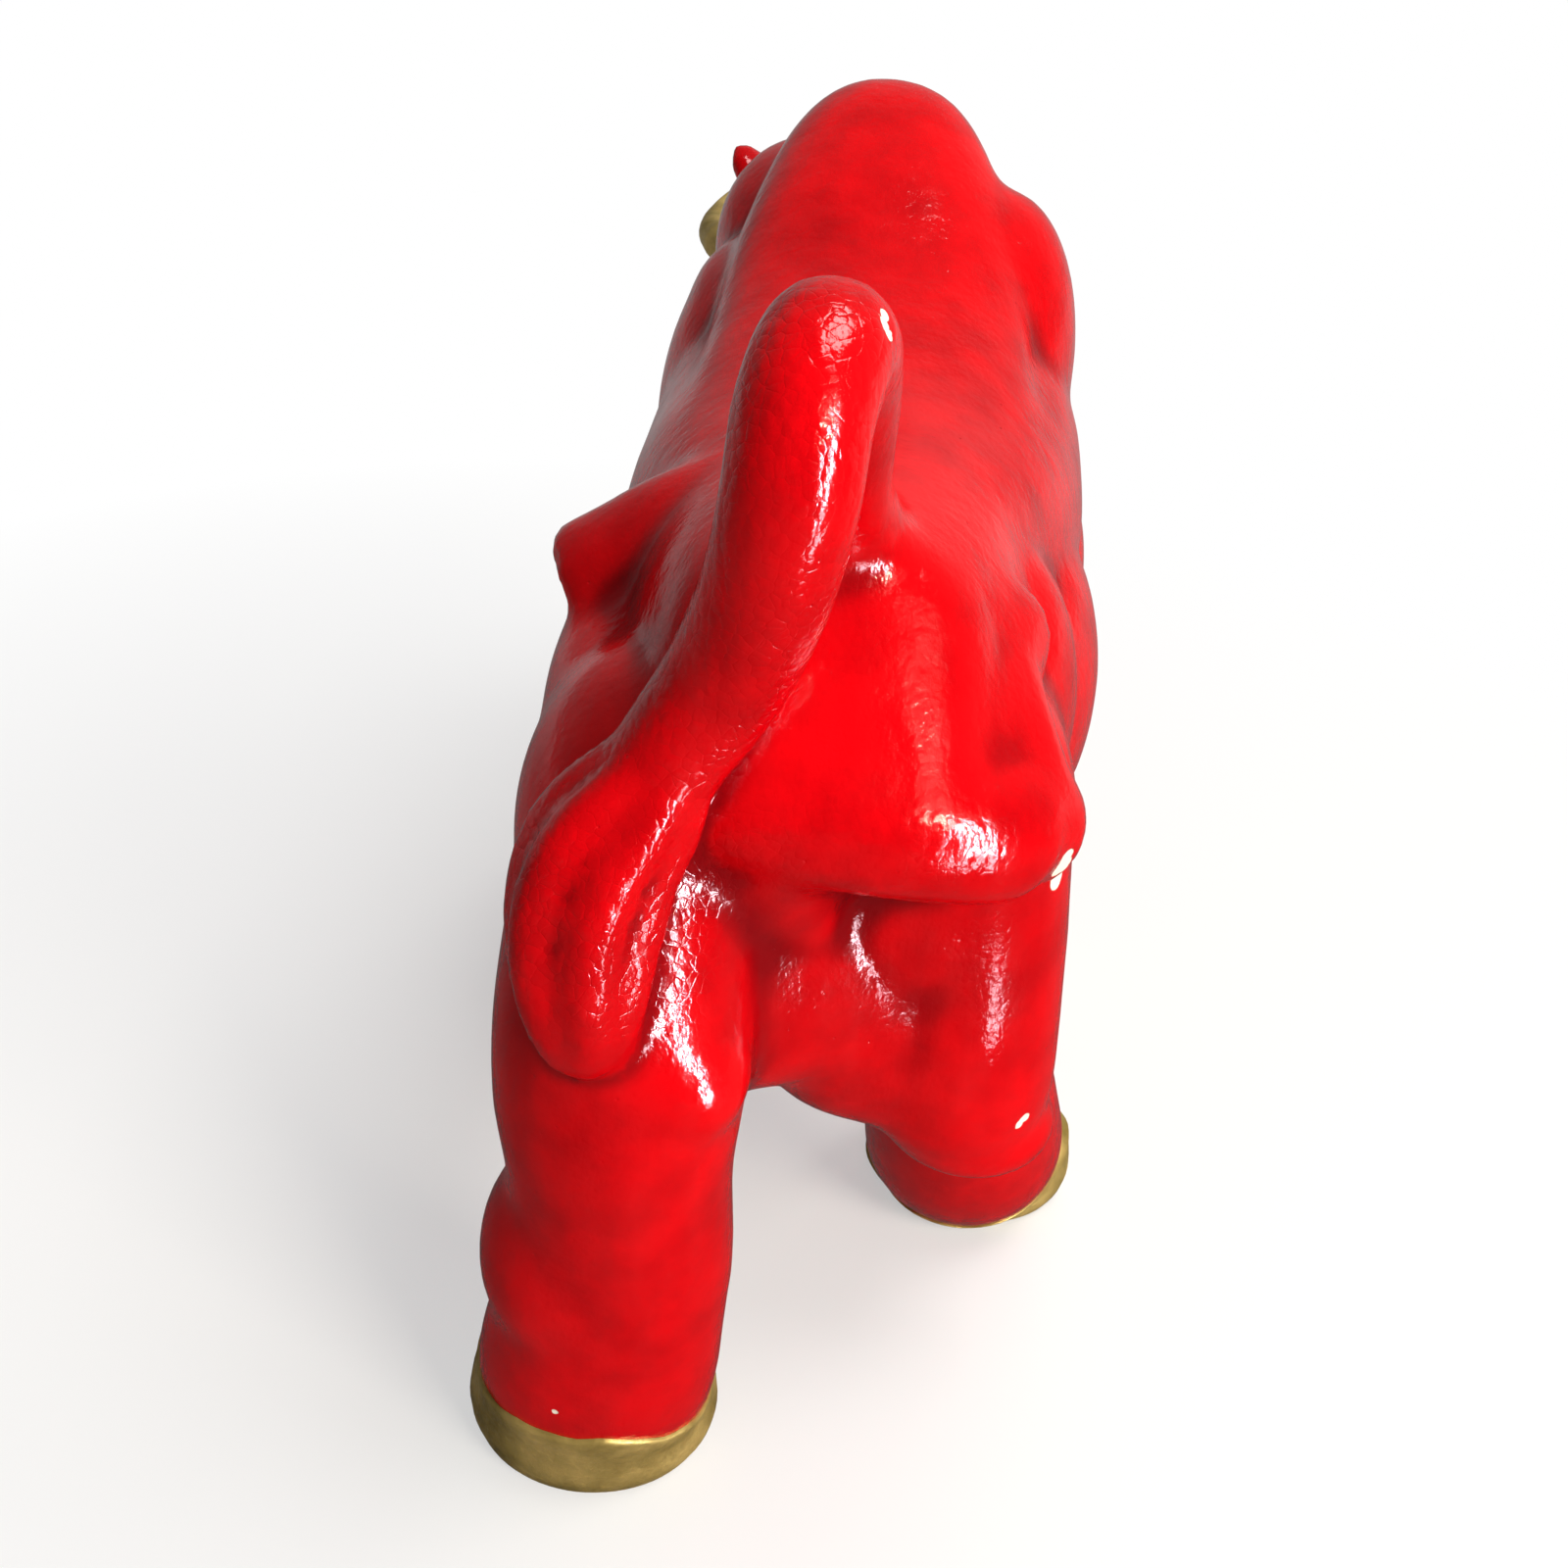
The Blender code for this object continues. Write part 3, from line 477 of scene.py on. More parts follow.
def path_object(name, points):
    """A smooth path in the frame as a curve object."""
    rows = smooth_stations(points)
    curve = bpy.data.curves.new(name, "CURVE")
    curve.dimensions = "3D"
    spline = curve.splines.new("POLY")
    spline.points.add(len(rows) - 1)
    for point, row in zip(spline.points, rows):
        point.co = (*(PLACE @ Vector(row)), 1.0)
    return shown(name, curve)


def tuft_locks():
    """Node group: locks of hair that bundle around a path."""
    tree = bpy.data.node_groups.new("tuft_locks", "GeometryNodeTree")
    tree.interface.new_socket("Path", in_out="INPUT", socket_type="NodeSocketGeometry")
    for name, kind in (("Locks", "Int"), ("Spread", "Float"), ("Thickness", "Float"), ("Twist", "Float"),
                       ("Start", "Float"), ("Fullness", "Float"), ("Finish", "Material")):
        tree.interface.new_socket(name, in_out="INPUT", socket_type=f"NodeSocket{kind}")
    tree.interface.new_socket("Hair", in_out="OUTPUT", socket_type="NodeSocketGeometry")
    given = add_node(tree, "NodeGroupInput").outputs
    even = add_node(tree, "GeometryNodeResampleCurve", {"Curve": given["Path"], "Count": LOCK_POINTS})
    copies = {"Geometry": even, "Amount": given["Locks"]}
    copies = add_node(tree, "GeometryNodeDuplicateElements", copies, domain="SPLINE")
    share = add_node(tree, "GeometryNodeSplineParameter").outputs["Factor"]
    turn = (copies.outputs["Duplicate Index"], given["Locks"])
    turn = add_node(tree, "ShaderNodeMath", turn, operation="DIVIDE")
    turn = add_node(tree, "ShaderNodeMath", (turn, math.tau), operation="MULTIPLY")
    wind = (share, given["Twist"], given["Start"])
    wind = add_node(tree, "ShaderNodeMath", wind, operation="MULTIPLY_ADD")
    angle = add_node(tree, "ShaderNodeMath", (turn, wind), operation="ADD")
    arc = add_node(tree, "ShaderNodeMath", (share, math.pi), operation="MULTIPLY")
    hump = add_node(tree, "ShaderNodeMath", (arc,), operation="SINE")
    swell = add_node(tree, "ShaderNodeMath", (hump, given["Fullness"]), operation="POWER")
    normal = add_node(tree, "GeometryNodeInputNormal").outputs["Normal"]
    tangent = add_node(tree, "GeometryNodeInputTangent").outputs["Tangent"]
    aside = {"Vector": normal, "Axis": tangent, "Angle": angle}
    aside = add_node(tree, "ShaderNodeVectorRotate", aside, rotation_type="AXIS_ANGLE")
    reach = add_node(tree, "ShaderNodeMath", (swell, given["Spread"]), operation="MULTIPLY")
    push = add_node(tree, "ShaderNodeVectorMath", {0: aside, "Scale": reach}, operation="SCALE")
    spread = add_node(tree, "GeometryNodeSetPosition", {"Geometry": copies, "Offset": push})
    thick = (swell, given["Thickness"], LOCK_LEAST)
    thick = add_node(tree, "ShaderNodeMath", thick, operation="MULTIPLY_ADD")
    profile = add_node(tree, "GeometryNodeCurvePrimitiveCircle", {"Resolution": LOCK_SIDES, "Radius": 1.0})
    swept = {"Curve": spread, "Profile Curve": profile, "Scale": thick, "Fill Caps": True}
    swept = add_node(tree, "GeometryNodeCurveToMesh", swept)
    real = add_node(tree, "GeometryNodeRealizeInstances", {"Geometry": swept})
    finished = {"Geometry": real, "Material": given["Finish"]}
    finished = add_node(tree, "GeometryNodeSetMaterial", finished)
    add_node(tree, "NodeGroupOutput", {"Hair": finished})
    return tree


# to the eye: a deep, wet-looking red with sharp white glints
red_paint = bpy.data.materials.new("red enamel paint on white bisque")
tuft_path = path_object("tuft_path", TUFT_PATH)
hair = tuft_path.modifiers.new("hair locks", "NODES")
hair.node_group = tuft_locks()
lock_settings = {
    "Locks": 6,
    "Spread": 6.2 * MM,
    "Thickness": 2.7 * MM,
    "Twist": 0.3,
    "Start": 0.9,
    "Fullness": 0.45,
    "Finish": red_paint,
}
for item in hair.node_group.interface.items_tree:
    if item.name in lock_settings:
        hair[item.identifier] = lock_settings[item.name]
tuft = evaluated_mesh(tuft_path)

tail_clay = bmesh.new()
add_limb(tail_clay, TAIL_STATIONS)
tail = mesh_of("tail", tail_clay)
print("tail", len(tail.polygons), "faces, tuft", len(tuft.polygons), "faces")

# %% [markdown]
# ## Ears, and the second melt
#
# Ears are flat leaves set behind the horns. Tail, tuft and ears now join the soft body, and all of it is
# melted once more on a finer grid with only a few relax steps. So the tail keeps its tight crease
# where it lies on the haunch, and the figurine still becomes one closed skin, as after painting. What
# hangs below the floor is lifted to just above it, inside the hooves.

# %% Second melt
EAR_BASE = Vector((11, -3, -5))
EAR_TIP = Vector((22, -10, 6))
EAR_HALF_WIDTH = 5.5
EAR_HALF_THICKNESS = 3.2
FINE_VOXEL = 1.25
FINE_RELAX_STEPS = 3
SOLE_CLEARANCE = 0.5 * MM


def ear_place(mirror):
    """Frame of an ear: X from its root to its tip, Y through its thickness."""
    base = Vector((mirror * EAR_BASE.x, EAR_BASE.y, EAR_BASE.z))
    tip = Vector((mirror * EAR_TIP.x, EAR_TIP.y, EAR_TIP.z))
    turn = (tip - base).to_track_quat("X", "Z").to_matrix().to_4x4()
    return HEAD_PLACE @ Matrix.Translation((base + tip) / 2) @ turn


ear_clay = bmesh.new()
ear_radii = ((EAR_TIP - EAR_BASE).length / 2, EAR_HALF_THICKNESS, EAR_HALF_WIDTH)
for mirror in (-1, 1):
    add_lump(ear_clay, (0, 0, 0), ear_radii, ear_place(mirror))
ears = mesh_of("ears", ear_clay)

whole = bmesh.new()
for mesh in (body, tail, tuft, ears):
    whole.from_mesh(mesh)
joined = bpy.data.meshes.new("whole_clay")
whole.to_mesh(joined)
whole.free()
coat = fused("whole_clay", joined, FINE_VOXEL, FINE_RELAX_STEPS)
coat.name = "coat"
for vertex in coat.vertices:
    vertex.co.z = max(vertex.co.z, SOLE_CLEARANCE)
print("coat", len(coat.polygons), "faces")

# %% [markdown]
# ## Carving
#
# Fine lines are cut into the finished skin: nostrils, mouth, lids and the hollows of the ears. A line
# could be a Boolean with a thin tube, but that tears the even mesh. Pressing is kinder: every point
# near a path moves in along its own normal, deepest on the path and not at all at the tool's edge.

# %% Face and ears
PRESS_STEPS = 12
EYE = (17, 21, -6)
# path in the head's frame, half width of the tool, depth; a negative depth raises a bead
FACE_CUTS = {
    "eye socket": ((EYE,), 5.5, 1.6),
    "eyeball": ((EYE,), 3.4, -2.2),
    "upper lid": (((15, 15, -3), (18, 19, -2), (17.5, 26, -4)), 1.8, -0.8),
    "nostril": (((9.5, 65, -13), (10.5, 65, -16)), 3.2, 2.6),
    "mouth": (((3, 67, -23), (10, 62, -24), (14, 54, -24), (14, 46, -23)), 1.7, 1.3),
}
EAR_CUT_STATIONS = (-4, 0, 5)
EAR_CUT_HALF_WIDTH = 4.2
EAR_CUT_DEPTH = 2.4


def points_and_normals(mesh):
    """Points of a mesh and the directions in which its skin faces there, as rows."""
    points = np.empty(len(mesh.vertices) * 3)
    normals = np.empty_like(points)
    mesh.vertices.foreach_get("co", points)
    mesh.vertex_normals.foreach_get("vector", normals)
    return points.reshape(-1, 3), normals.reshape(-1, 3)


def press(mesh, path, width, depth):
    """Presses a groove of that half width along a path in the frame."""
    points, normals = points_and_normals(mesh)
    stations = np.array(smooth_stations(path, PRESS_STEPS) if len(path) > 1 else path, float)
    nearest = np.full(len(points), np.inf)
    for station in stations:
        nearest = np.minimum(nearest, np.linalg.norm(points - station, axis=1))
    share = np.clip(1 - nearest / (width * MM), 0, 1)
    soft = share * share * (3 - 2 * share)
    points -= normals * (soft * depth * MM)[:, None]
    mesh.vertices.foreach_set("co", points.ravel())
    mesh.update()


def on_head(*points, mirror=1):
    return [tuple(PLACE @ HEAD_PLACE @ Vector((mirror * x, y, z))) for x, y, z in points]


for mirror in (-1, 1):
    for path, half_width, depth in FACE_CUTS.values():
        press(coat, on_head(*path, mirror=mirror), half_width, depth)
    inner = [Vector((x, mirror * EAR_HALF_THICKNESS, 0)) for x in EAR_CUT_STATIONS]
    inner = [tuple(PLACE @ ear_place(mirror) @ point) for point in inner]
    press(coat, inner, EAR_CUT_HALF_WIDTH, EAR_CUT_DEPTH)
coat.shade_smooth()
print("face carved with", 2 * len(FACE_CUTS), "cuts")

# %% [markdown]
# ## The camera, and looking through a pixel
#
# The photograph was taken from behind and above, with the camera rolled a little. Distance, pitch, roll
# and focal length were worked out from it. The camera is made here already, because the chips in the
# paint are placed by the pixel where they are seen: a ray through that pixel is followed until it meets
# the skin. So a chip sits on the surface wherever the form ends up.

# %% Camera
PICTURE_SIZE = 1600
FOCAL_PIXELS = 1600.0
SENSOR = 36.0
NEAR_LIMIT = 0.01
CAMERA_AT = PLACE @ Vector((-4, -225, 205))
PITCH = math.radians(31)
ROLL = math.radians(6.5)
CAMERA_TURN = Matrix.Rotation(math.pi / 2 - PITCH, 4, "X") @ Matrix.Rotation(ROLL, 4, "Z")

camera_data = bpy.data.cameras.new("photo camera")
camera_data.sensor_width = SENSOR
camera_data.lens = SENSOR * FOCAL_PIXELS / PICTURE_SIZE
camera_data.clip_start = NEAR_LIMIT
camera = bpy.data.objects.new("photo camera", camera_data)
camera.matrix_world = Matrix.Translation(CAMERA_AT) @ CAMERA_TURN
bpy.context.scene.collection.objects.link(camera)
bpy.context.scene.camera = camera


def skin_tree(mesh):
    """Search tree of a mesh for rays."""
    return BVHTree.FromPolygons([v.co for v in mesh.vertices], [p.vertices for p in mesh.polygons])


def seen_at(tree, across, down):
    """Point of the skin that the camera sees at a pixel of the photograph."""
    half = PICTURE_SIZE / 2
    ray = Vector(((across - half) / FOCAL_PIXELS, (half - down) / FOCAL_PIXELS, -1))
    return tree.ray_cast(CAMERA_AT, CAMERA_TURN.to_3x3() @ ray)[0]


print("camera at, mm", [round(value / MM, 1) for value in CAMERA_AT])

# %% [markdown]
# ## Hooves
#
# The hooves are the painted ends of the legs: a soft bulge on the floor, a slight waist above it, a cleft
# in front, and an uneven upper edge where a brush stopped. A turned solid would be too even, so rings
# of points are set by angle: the height of the paint's edge changes around the leg and wavers, and
# the ring below that edge lies a hair outside the leg, as thick paint does.

# %% Hooves
HOOF_POINTS = 72
CLEFT_DEPTH = 0.14
CLEFT_HALF_ANGLE = math.radians(8)
PAINT_THICKNESS = 0.3
PROBE_START = 40.0
# below this share of the rim's height the hoof has its own form, above it follows the leg
FREE_SHARE = 0.5
BARE_RIM = 0.9
# how far the last ring is tucked in and down, to close the edge
TUCK_IN = 2.0
TUCK_DOWN = 0.5
# turns around the hoof, height in millimetres and start of the waves in the brushed edge
RIM_WAVES = ((5, 0.35, 1.3), (9, 0.25, 0.4), (17, 0.15, 0.0))
# middle of each hoof, and the height of its gold at the rear, left, right and front
HOOVES = {
    "hind_left": ((-22, -71), (16, 12.5, 9.5, 12)),
    "hind_right": ((37, -10), (2.5, 2.5, 10, 13)),
    "front_left": ((-32, 86), (12, 11, 11, 13)),
    "front_right": ((39, 55), (12, 11, 11, 13)),
}
# share of the rim's height, share of the full radius
HOOF_PROFILE = (
    (0, 0.84), (0, 0.9), (0.06, 0.95), (0.2, 0.985),
    (0.38, 1.0), (0.58, 0.985), (0.78, 0.96), (0.92, 0.95),
)

# to the eye: a dull, brassy shine without clear reflections
gold_paint = bpy.data.materials.new("gold bronze paint")
coat_tree = skin_tree(coat)


def leg_reach(foot, angle, height):
    """How far the leg's skin lies from the hoof's axis, in millimetres."""
    outward = Vector((math.cos(angle), math.sin(angle), 0))
    start = PLACE @ (foot + outward * PROBE_START + Vector((0, 0, height)))
    hit = coat_tree.ray_cast(start, -outward)[0]
    return (hit - PLACE @ (foot + Vector((0, 0, height)))).length / MM if hit else 0.0


def hoof_mesh(which):
    middle, (rear, left, right, front) = HOOVES[which]
    foot = Vector((*middle, 0))
    rings = [[] for _ in range(len(HOOF_PROFILE) + 2)]
    for index in range(HOOF_POINTS):
        angle = math.tau * index / HOOF_POINTS
        outward = Vector((math.cos(angle), math.sin(angle), 0))
        full = 1 / math.hypot(outward.x / HOOF_HALF_WIDTH, outward.y / HOOF_HALF_LENGTH)
        cleft = math.exp(-((angle - math.pi / 2) / CLEFT_HALF_ANGLE) ** 2)
        full *= 1 - CLEFT_DEPTH * cleft
        end = front if outward.y > 0 else rear
        side = right if outward.x > 0 else left
        rim = side + (end - side) * outward.y**2
        rim += sum(waver * math.sin(turns * angle + start) for turns, waver, start in RIM_WAVES)
        for ring, (up, out) in zip(rings, HOOF_PROFILE):
            height = up * rim
            reach = full * out
            if up > FREE_SHARE:
                reach = max(reach, leg_reach(foot, angle, height) + 2 * PAINT_THICKNESS)
            ring.append(foot + outward * reach + Vector((0, 0, height)))
        edge = leg_reach(foot, angle, rim) or BARE_RIM * full
        rings[-2].append(foot + outward * (edge + PAINT_THICKNESS) + Vector((0, 0, rim)))
        rings[-1].append(foot + outward * (edge - TUCK_IN) + Vector((0, 0, rim - TUCK_DOWN)))
    hoof_clay = bmesh.new()
    add_loft(hoof_clay, rings)
    mesh = mesh_of(f"hoof_{which}", hoof_clay)
    mesh.materials.append(gold_paint)
    mesh.shade_smooth()
    return mesh


hooves = {which: shown(f"gold_hoof_{which}", hoof_mesh(which)) for which in HOOVES}
for which, ob in hooves.items():
    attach(ob, "root")
    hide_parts(f"hoof_{which}")
print("hooves", [len(ob.data.polygons) for ob in hooves.values()])

# %% [markdown]
# ## Horns
#
# A horn is a limb that tapers to a blunt point. Shallow growth rings near its root are part of the
# sections themselves: the radius swells a little in a wave that dies out towards the tip.

# %% Horns
HORN_RADIUS = 4.6
HORN_STATIONS = (
    (9, 8, -4, HORN_RADIUS),
    (15, 11.5, -2, HORN_RADIUS),
    (20.5, 15.5, 2, HORN_RADIUS - 0.4),
    (22, 20, 9, HORN_RADIUS - 1.2),
    (19.5, 24, 17.5, HORN_RADIUS - 2.4),
    (16.3, 25.7, 24, HORN_RADIUS - 3.8),
    (15.6, 26, 25.6, HORN_RADIUS - 4.7),
)
HORN_STEPS = 8
GROWTH_RINGS = 9
GROWTH_SWELL = 0.05
# how fast the rings die out towards the tip
GROWTH_FADE = 1.4


def horn_stations(mirror):
    rows = smooth_stations(HORN_STATIONS, HORN_STEPS)
    ringed = []
    for index, (aside, along, height, radius) in enumerate(rows):
        share = index / (len(rows) - 1)
        wave = math.sin(share * GROWTH_RINGS * math.tau) * max(0, 1 - GROWTH_FADE * share)
        ringed.append((mirror * aside, along, height, radius * (1 + GROWTH_SWELL * wave)))
    return ringed


for side, mirror in (("left", -1), ("right", 1)):
    horn_clay = bmesh.new()
    add_limb(horn_clay, horn_stations(mirror), HEAD_PLACE)
    horn = shown(f"gold_horn_{side}", mesh_of(f"horn_{side}", horn_clay))
    horn.data.materials.append(gold_paint)
    horn.data.shade_smooth()
    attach(horn, "root")
    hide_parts(f"horn_{side}")
    print(horn.name, len(horn.data.polygons), "faces")

# %% [markdown]
# ## Chips
#
# Where the figurine was knocked, the red has come off and the white body shows. Each chip is a few
# discs set by their pixels in the photograph. The skin is pressed in by the thickness of the
# paint there, and the paint's material turns white inside the same discs.

# %% Chips
CHIP_DEPTH = 0.25
# pixel across, pixel down, radius in millimetres
CHIP_DISCS = (
    (904, 321, 0.7), (905, 330, 0.85), (909, 340, 0.7),
    (1090, 876, 1.3), (1085, 886, 1.7), (1079, 897, 1.6),
    (1046, 1142, 0.95), (1041, 1148, 0.8),
    (566, 1441, 0.5),
)
chips = []
for across, down, radius in CHIP_DISCS:
    centre = seen_at(coat_tree, across, down)
    if centre is None:
        print("no skin at pixel", across, down)
        continue
    chips.append((tuple(centre), radius * MM))
    press(coat, [tuple(centre)], 2 * radius, CHIP_DEPTH)
print(len(chips), "chip discs")

# %% [markdown]
# ## Hollows
#
# The red is painted darker in the creases, as painted shade. To know where the creases are, a copy of the
# points is
# smoothed strongly: where the smoothed point lies outside the skin there is a hollow, and where it lies
# inside there is a crest. The difference is kept with every point, and the paint reads it.

# %% Hollows
HOLLOW_STEPS = 14
HOLLOW_RANGE = 0.5 * MM


def keep_hollows(mesh):
    """Keeps how hollow the skin is with every point, from -1 on crests to 1 in creases."""
    points, normals = points_and_normals(mesh)
    edges = np.empty(len(mesh.edges) * 2, dtype=np.int64)
    mesh.edges.foreach_get("vertices", edges)
    degree = np.bincount(edges, minlength=len(points))[:, None]
    edges = edges.reshape(-1, 2)
    smooth = points.copy()
    for _ in range(HOLLOW_STEPS):
        total = np.zeros_like(smooth)
        np.add.at(total, edges[:, 0], smooth[edges[:, 1]])
        np.add.at(total, edges[:, 1], smooth[edges[:, 0]])
        smooth = total / degree
    depth = ((smooth - points) * normals).sum(1)
    kept = mesh.attributes.new("hollow", "FLOAT", "POINT")
    kept.data.foreach_set("value", np.clip(depth / HOLLOW_RANGE, -1, 1).astype(np.float32))
    return depth


depth = keep_hollows(coat)
print("hollows from", round(depth.min() / MM, 2), "to", round(depth.max() / MM, 2), "mm")

# %% [markdown]
# ## Red paint
#
# Enamel paint is a coloured film with a clear, glossy surface, so one Principled shader is enough. Brushed
# by hand it is not even: the colour is deeper where the film is thick, and it clouds and blotches. The
# creases that were marked above are painted darker red, as painted shade. All scales are real sizes,
# because the noise reads object coordinates in metres.

# %% Red paint
def linear(code):
    """Linear colour from an sRGB hex code."""
    values = [int(code[index:index + 2], 16) / 255 for index in (1, 3, 5)]
    return (*(v / 12.92 if v <= 0.04045 else ((v + 0.055) / 1.055) ** 2.4 for v in values), 1.0)


RED_THICK = linear("#a80006")
RED_THIN = linear("#da010a")
# painted shade: the darkest red, laid into the creases
RED_PAINTED_SHADE = linear("#800006")
CLOUD_SIZE = 26.0 * MM
BLOTCH_SIZE = 7.0 * MM
# Map Range settings, here and below: from low, from high, to low, to high
CLOUD_THICKENS = (0.35, 0.65, 0.0, 0.6)
BLOTCH_THICKENS = (0.4, 0.7, 0.0, 0.4)
# the two crease settings paint shade into the creases, first through the thick red, then through the
# darkest red
CREASE_SHADE_DEEPENS = (0.0, 0.8, 0.0, 0.6)
CREASE_SHADE_DARKENS = (0.3, 1.0, 0.0, 1.0)

red_paint.use_nodes = True
tree = red_paint.node_tree
shader = tree.nodes["Principled BSDF"]
point = add_node(tree, "ShaderNodeTexCoord").outputs["Object"]
hollow = add_node(tree, "ShaderNodeAttribute", attribute_name="hollow").outputs["Fac"]
cloud = add_node(tree, "ShaderNodeTexNoise", {"Vector": point, "Scale": 1 / CLOUD_SIZE, "Detail": 4.0})
blotch = add_node(tree, "ShaderNodeTexNoise", {"Vector": point, "Scale": 1 / BLOTCH_SIZE, "Detail": 5.0})
clouded = add_node(tree, "ShaderNodeMapRange", (cloud, *CLOUD_THICKENS))
blotched = add_node(tree, "ShaderNodeMapRange", (blotch, *BLOTCH_THICKENS))
# painted shade: the creases, found from the hollow kept with each point, turn darker red
crease_shade = add_node(tree, "ShaderNodeMapRange", (hollow, *CREASE_SHADE_DEEPENS))
brushed = add_node(tree, "ShaderNodeMath", (clouded, blotched), operation="ADD")
# share of the thick red: the paint's own uneven tone from clouds and blotches, plus painted shade in the
# creases
thickness = add_node(tree, "ShaderNodeMath", (brushed, crease_shade), operation="ADD")
painted_shade = add_node(tree, "ShaderNodeMapRange", (hollow, *CREASE_SHADE_DARKENS))
# Mix has its share at 0 and, for colours, its inputs at 6 and 7 and its result at 2
red = RED_THIN
for share, colour in ((thickness, RED_THICK), (painted_shade, RED_PAINTED_SHADE)):
    red = add_node(tree, "ShaderNodeMix", {0: share, 6: red, 7: colour}, data_type="RGBA").outputs[2]
print("red paint", len(tree.nodes), "nodes")

# %% [markdown]
# ## Chips and eyes in the paint
#
# The chips and the eyes are spots with a known middle and radius. A spot could be a texture, but a
# distance to its middle is enough: where that is less than the radius, the colour changes. A fine noise
# shakes the place that is looked up, so that the paint breaks off along a torn edge.

# %% Chips and eyes
BISQUE = linear("#f3ead9")
EYE_BLACK = linear("#120d0c")
EYE_RADIUS = 2.9 * MM
EYE_BULGE = 1.0
TEAR_SIZE = 0.9 * MM
TEAR_SHAKE = (0.35 * MM, 0.35 * MM, 0.35 * MM)
NOISE_MIDDLE = (0.5, 0.5, 0.5)
SPOT_EDGE = (0.93, 1.05, 1.0, 0.0)


def inside_spots(tree, point, spots):
    """1 inside any of the spots, 0 outside, with a narrow edge."""
    least = None
    for centre, radius in spots:
        away = add_node(tree, "ShaderNodeVectorMath", (point, centre), operation="DISTANCE")
        share = add_node(tree, "ShaderNodeMath", (away.outputs["Value"], radius), operation="DIVIDE")
        if least is not None:
            share = add_node(tree, "ShaderNodeMath", (least, share), operation="MINIMUM")
        least = share
    return add_node(tree, "ShaderNodeMapRange", (least, *SPOT_EDGE))


tear = add_node(tree, "ShaderNodeTexNoise", {"Vector": point, "Scale": 1 / TEAR_SIZE, "Detail": 3.0})
shake = (tear.outputs["Color"], NOISE_MIDDLE)
shake = add_node(tree, "ShaderNodeVectorMath", shake, operation="SUBTRACT")
torn = add_node(tree, "ShaderNodeVectorMath", (shake, TEAR_SHAKE, point), operation="MULTIPLY_ADD")
chipped = inside_spots(tree, torn, chips)
pupils = [on_head((EYE[0] + EYE_BULGE, *EYE[1:]), mirror=mirror)[0] for mirror in (-1, 1)]
eyes = inside_spots(tree, point, [(pupil, EYE_RADIUS) for pupil in pupils])
for share, colour in ((eyes, EYE_BLACK), (chipped, BISQUE)):
    red = add_node(tree, "ShaderNodeMix", {0: share, 6: red, 7: colour}, data_type="RGBA").outputs[2]
tree.links.new(red, shader.inputs["Base Color"])
print("spots", len(chips), "chips and", len(pupils), "eyes")

# %% [markdown]
# ## Gloss and fine relief
#
# Enamel brushed on by hand is smooth but not flat: brush marks, orange peel and pinholes break up each
# glint. The old paint on the tail is crazed into small flakes, each a little domed. It could be modelled,
# but all of it stays within about a fifth of a millimetre, so it is bump, laid layer on layer.

# %% Gloss and relief
PEEL_SIZE = 1.1 * MM
PEEL_DEPTH = 0.08 * MM
STREAK_SIZE = 4.0 * MM
STREAK_DEPTH = 0.22 * MM
STREAK_SHAPE = (1.0, 1.0, 0.3)
PINHOLE_SPACING = 5.0 * MM
PINHOLE_DEPTH = 0.06 * MM
PINHOLE_EDGE = (0.02, 0.05, 1.0, 0.0)
FLAKE_SIZE = 1.5 * MM
FLAKE_DEPTH = 0.1 * MM
CRACK_DEPTH = 0.03 * MM
CRACK_EDGE = (0.0, 0.07, 1.0, 0.0)
CRACK_PATCHES = (0.4, 0.6, 0.2, 1.0)
CHIP_STEP = 0.2 * MM
CHIP_MATT = (0.0, 1.0, 0.0, 0.75)
GLOSS = (0.3, 0.7, 0.09, 0.17)
GLINT_TINT = linear("#ffe0e0")
# the tail is crazed most: how far back and how high that sets in, and how crazed the rest is
CRAZED_BEHIND = (-104 * MM, -112 * MM)
CRAZED_ABOVE = (84 * MM, 100 * MM)
CRAZED_SHARE = (0.0, 1.0, 0.2, 1.0)

drawn = add_node(tree, "ShaderNodeVectorMath", (point, STREAK_SHAPE), operation="MULTIPLY")
streak = add_node(tree, "ShaderNodeTexNoise", {"Vector": drawn, "Scale": 1 / STREAK_SIZE, "Detail": 4.0})
peel = add_node(tree, "ShaderNodeTexNoise", {"Vector": point, "Scale": 1 / PEEL_SIZE, "Detail": 3.0})
pits = add_node(tree, "ShaderNodeTexVoronoi", {"Vector": point, "Scale": 1 / PINHOLE_SPACING})
pinhole = add_node(tree, "ShaderNodeMapRange", (pits, *PINHOLE_EDGE))
cells = {"Vector": torn, "Scale": 1 / FLAKE_SIZE}
flake = add_node(tree, "ShaderNodeTexVoronoi", cells)
edge = add_node(tree, "ShaderNodeTexVoronoi", cells, feature="DISTANCE_TO_EDGE")
crack = add_node(tree, "ShaderNodeMapRange", (edge, *CRACK_EDGE))
patches = add_node(tree, "ShaderNodeMapRange", (cloud, *CRACK_PATCHES))
crack = add_node(tree, "ShaderNodeMath", (crack, patches), operation="MULTIPLY")

parts = add_node(tree, "ShaderNodeSeparateXYZ", (point,)).outputs
behind = add_node(tree, "ShaderNodeMapRange", (parts["Y"], *CRAZED_BEHIND))
above = add_node(tree, "ShaderNodeMapRange", (parts["Z"], *CRAZED_ABOVE))
on_tail = add_node(tree, "ShaderNodeMath", (behind, above), operation="MULTIPLY")
crazing = add_node(tree, "ShaderNodeMapRange", (on_tail, *CRAZED_SHARE))

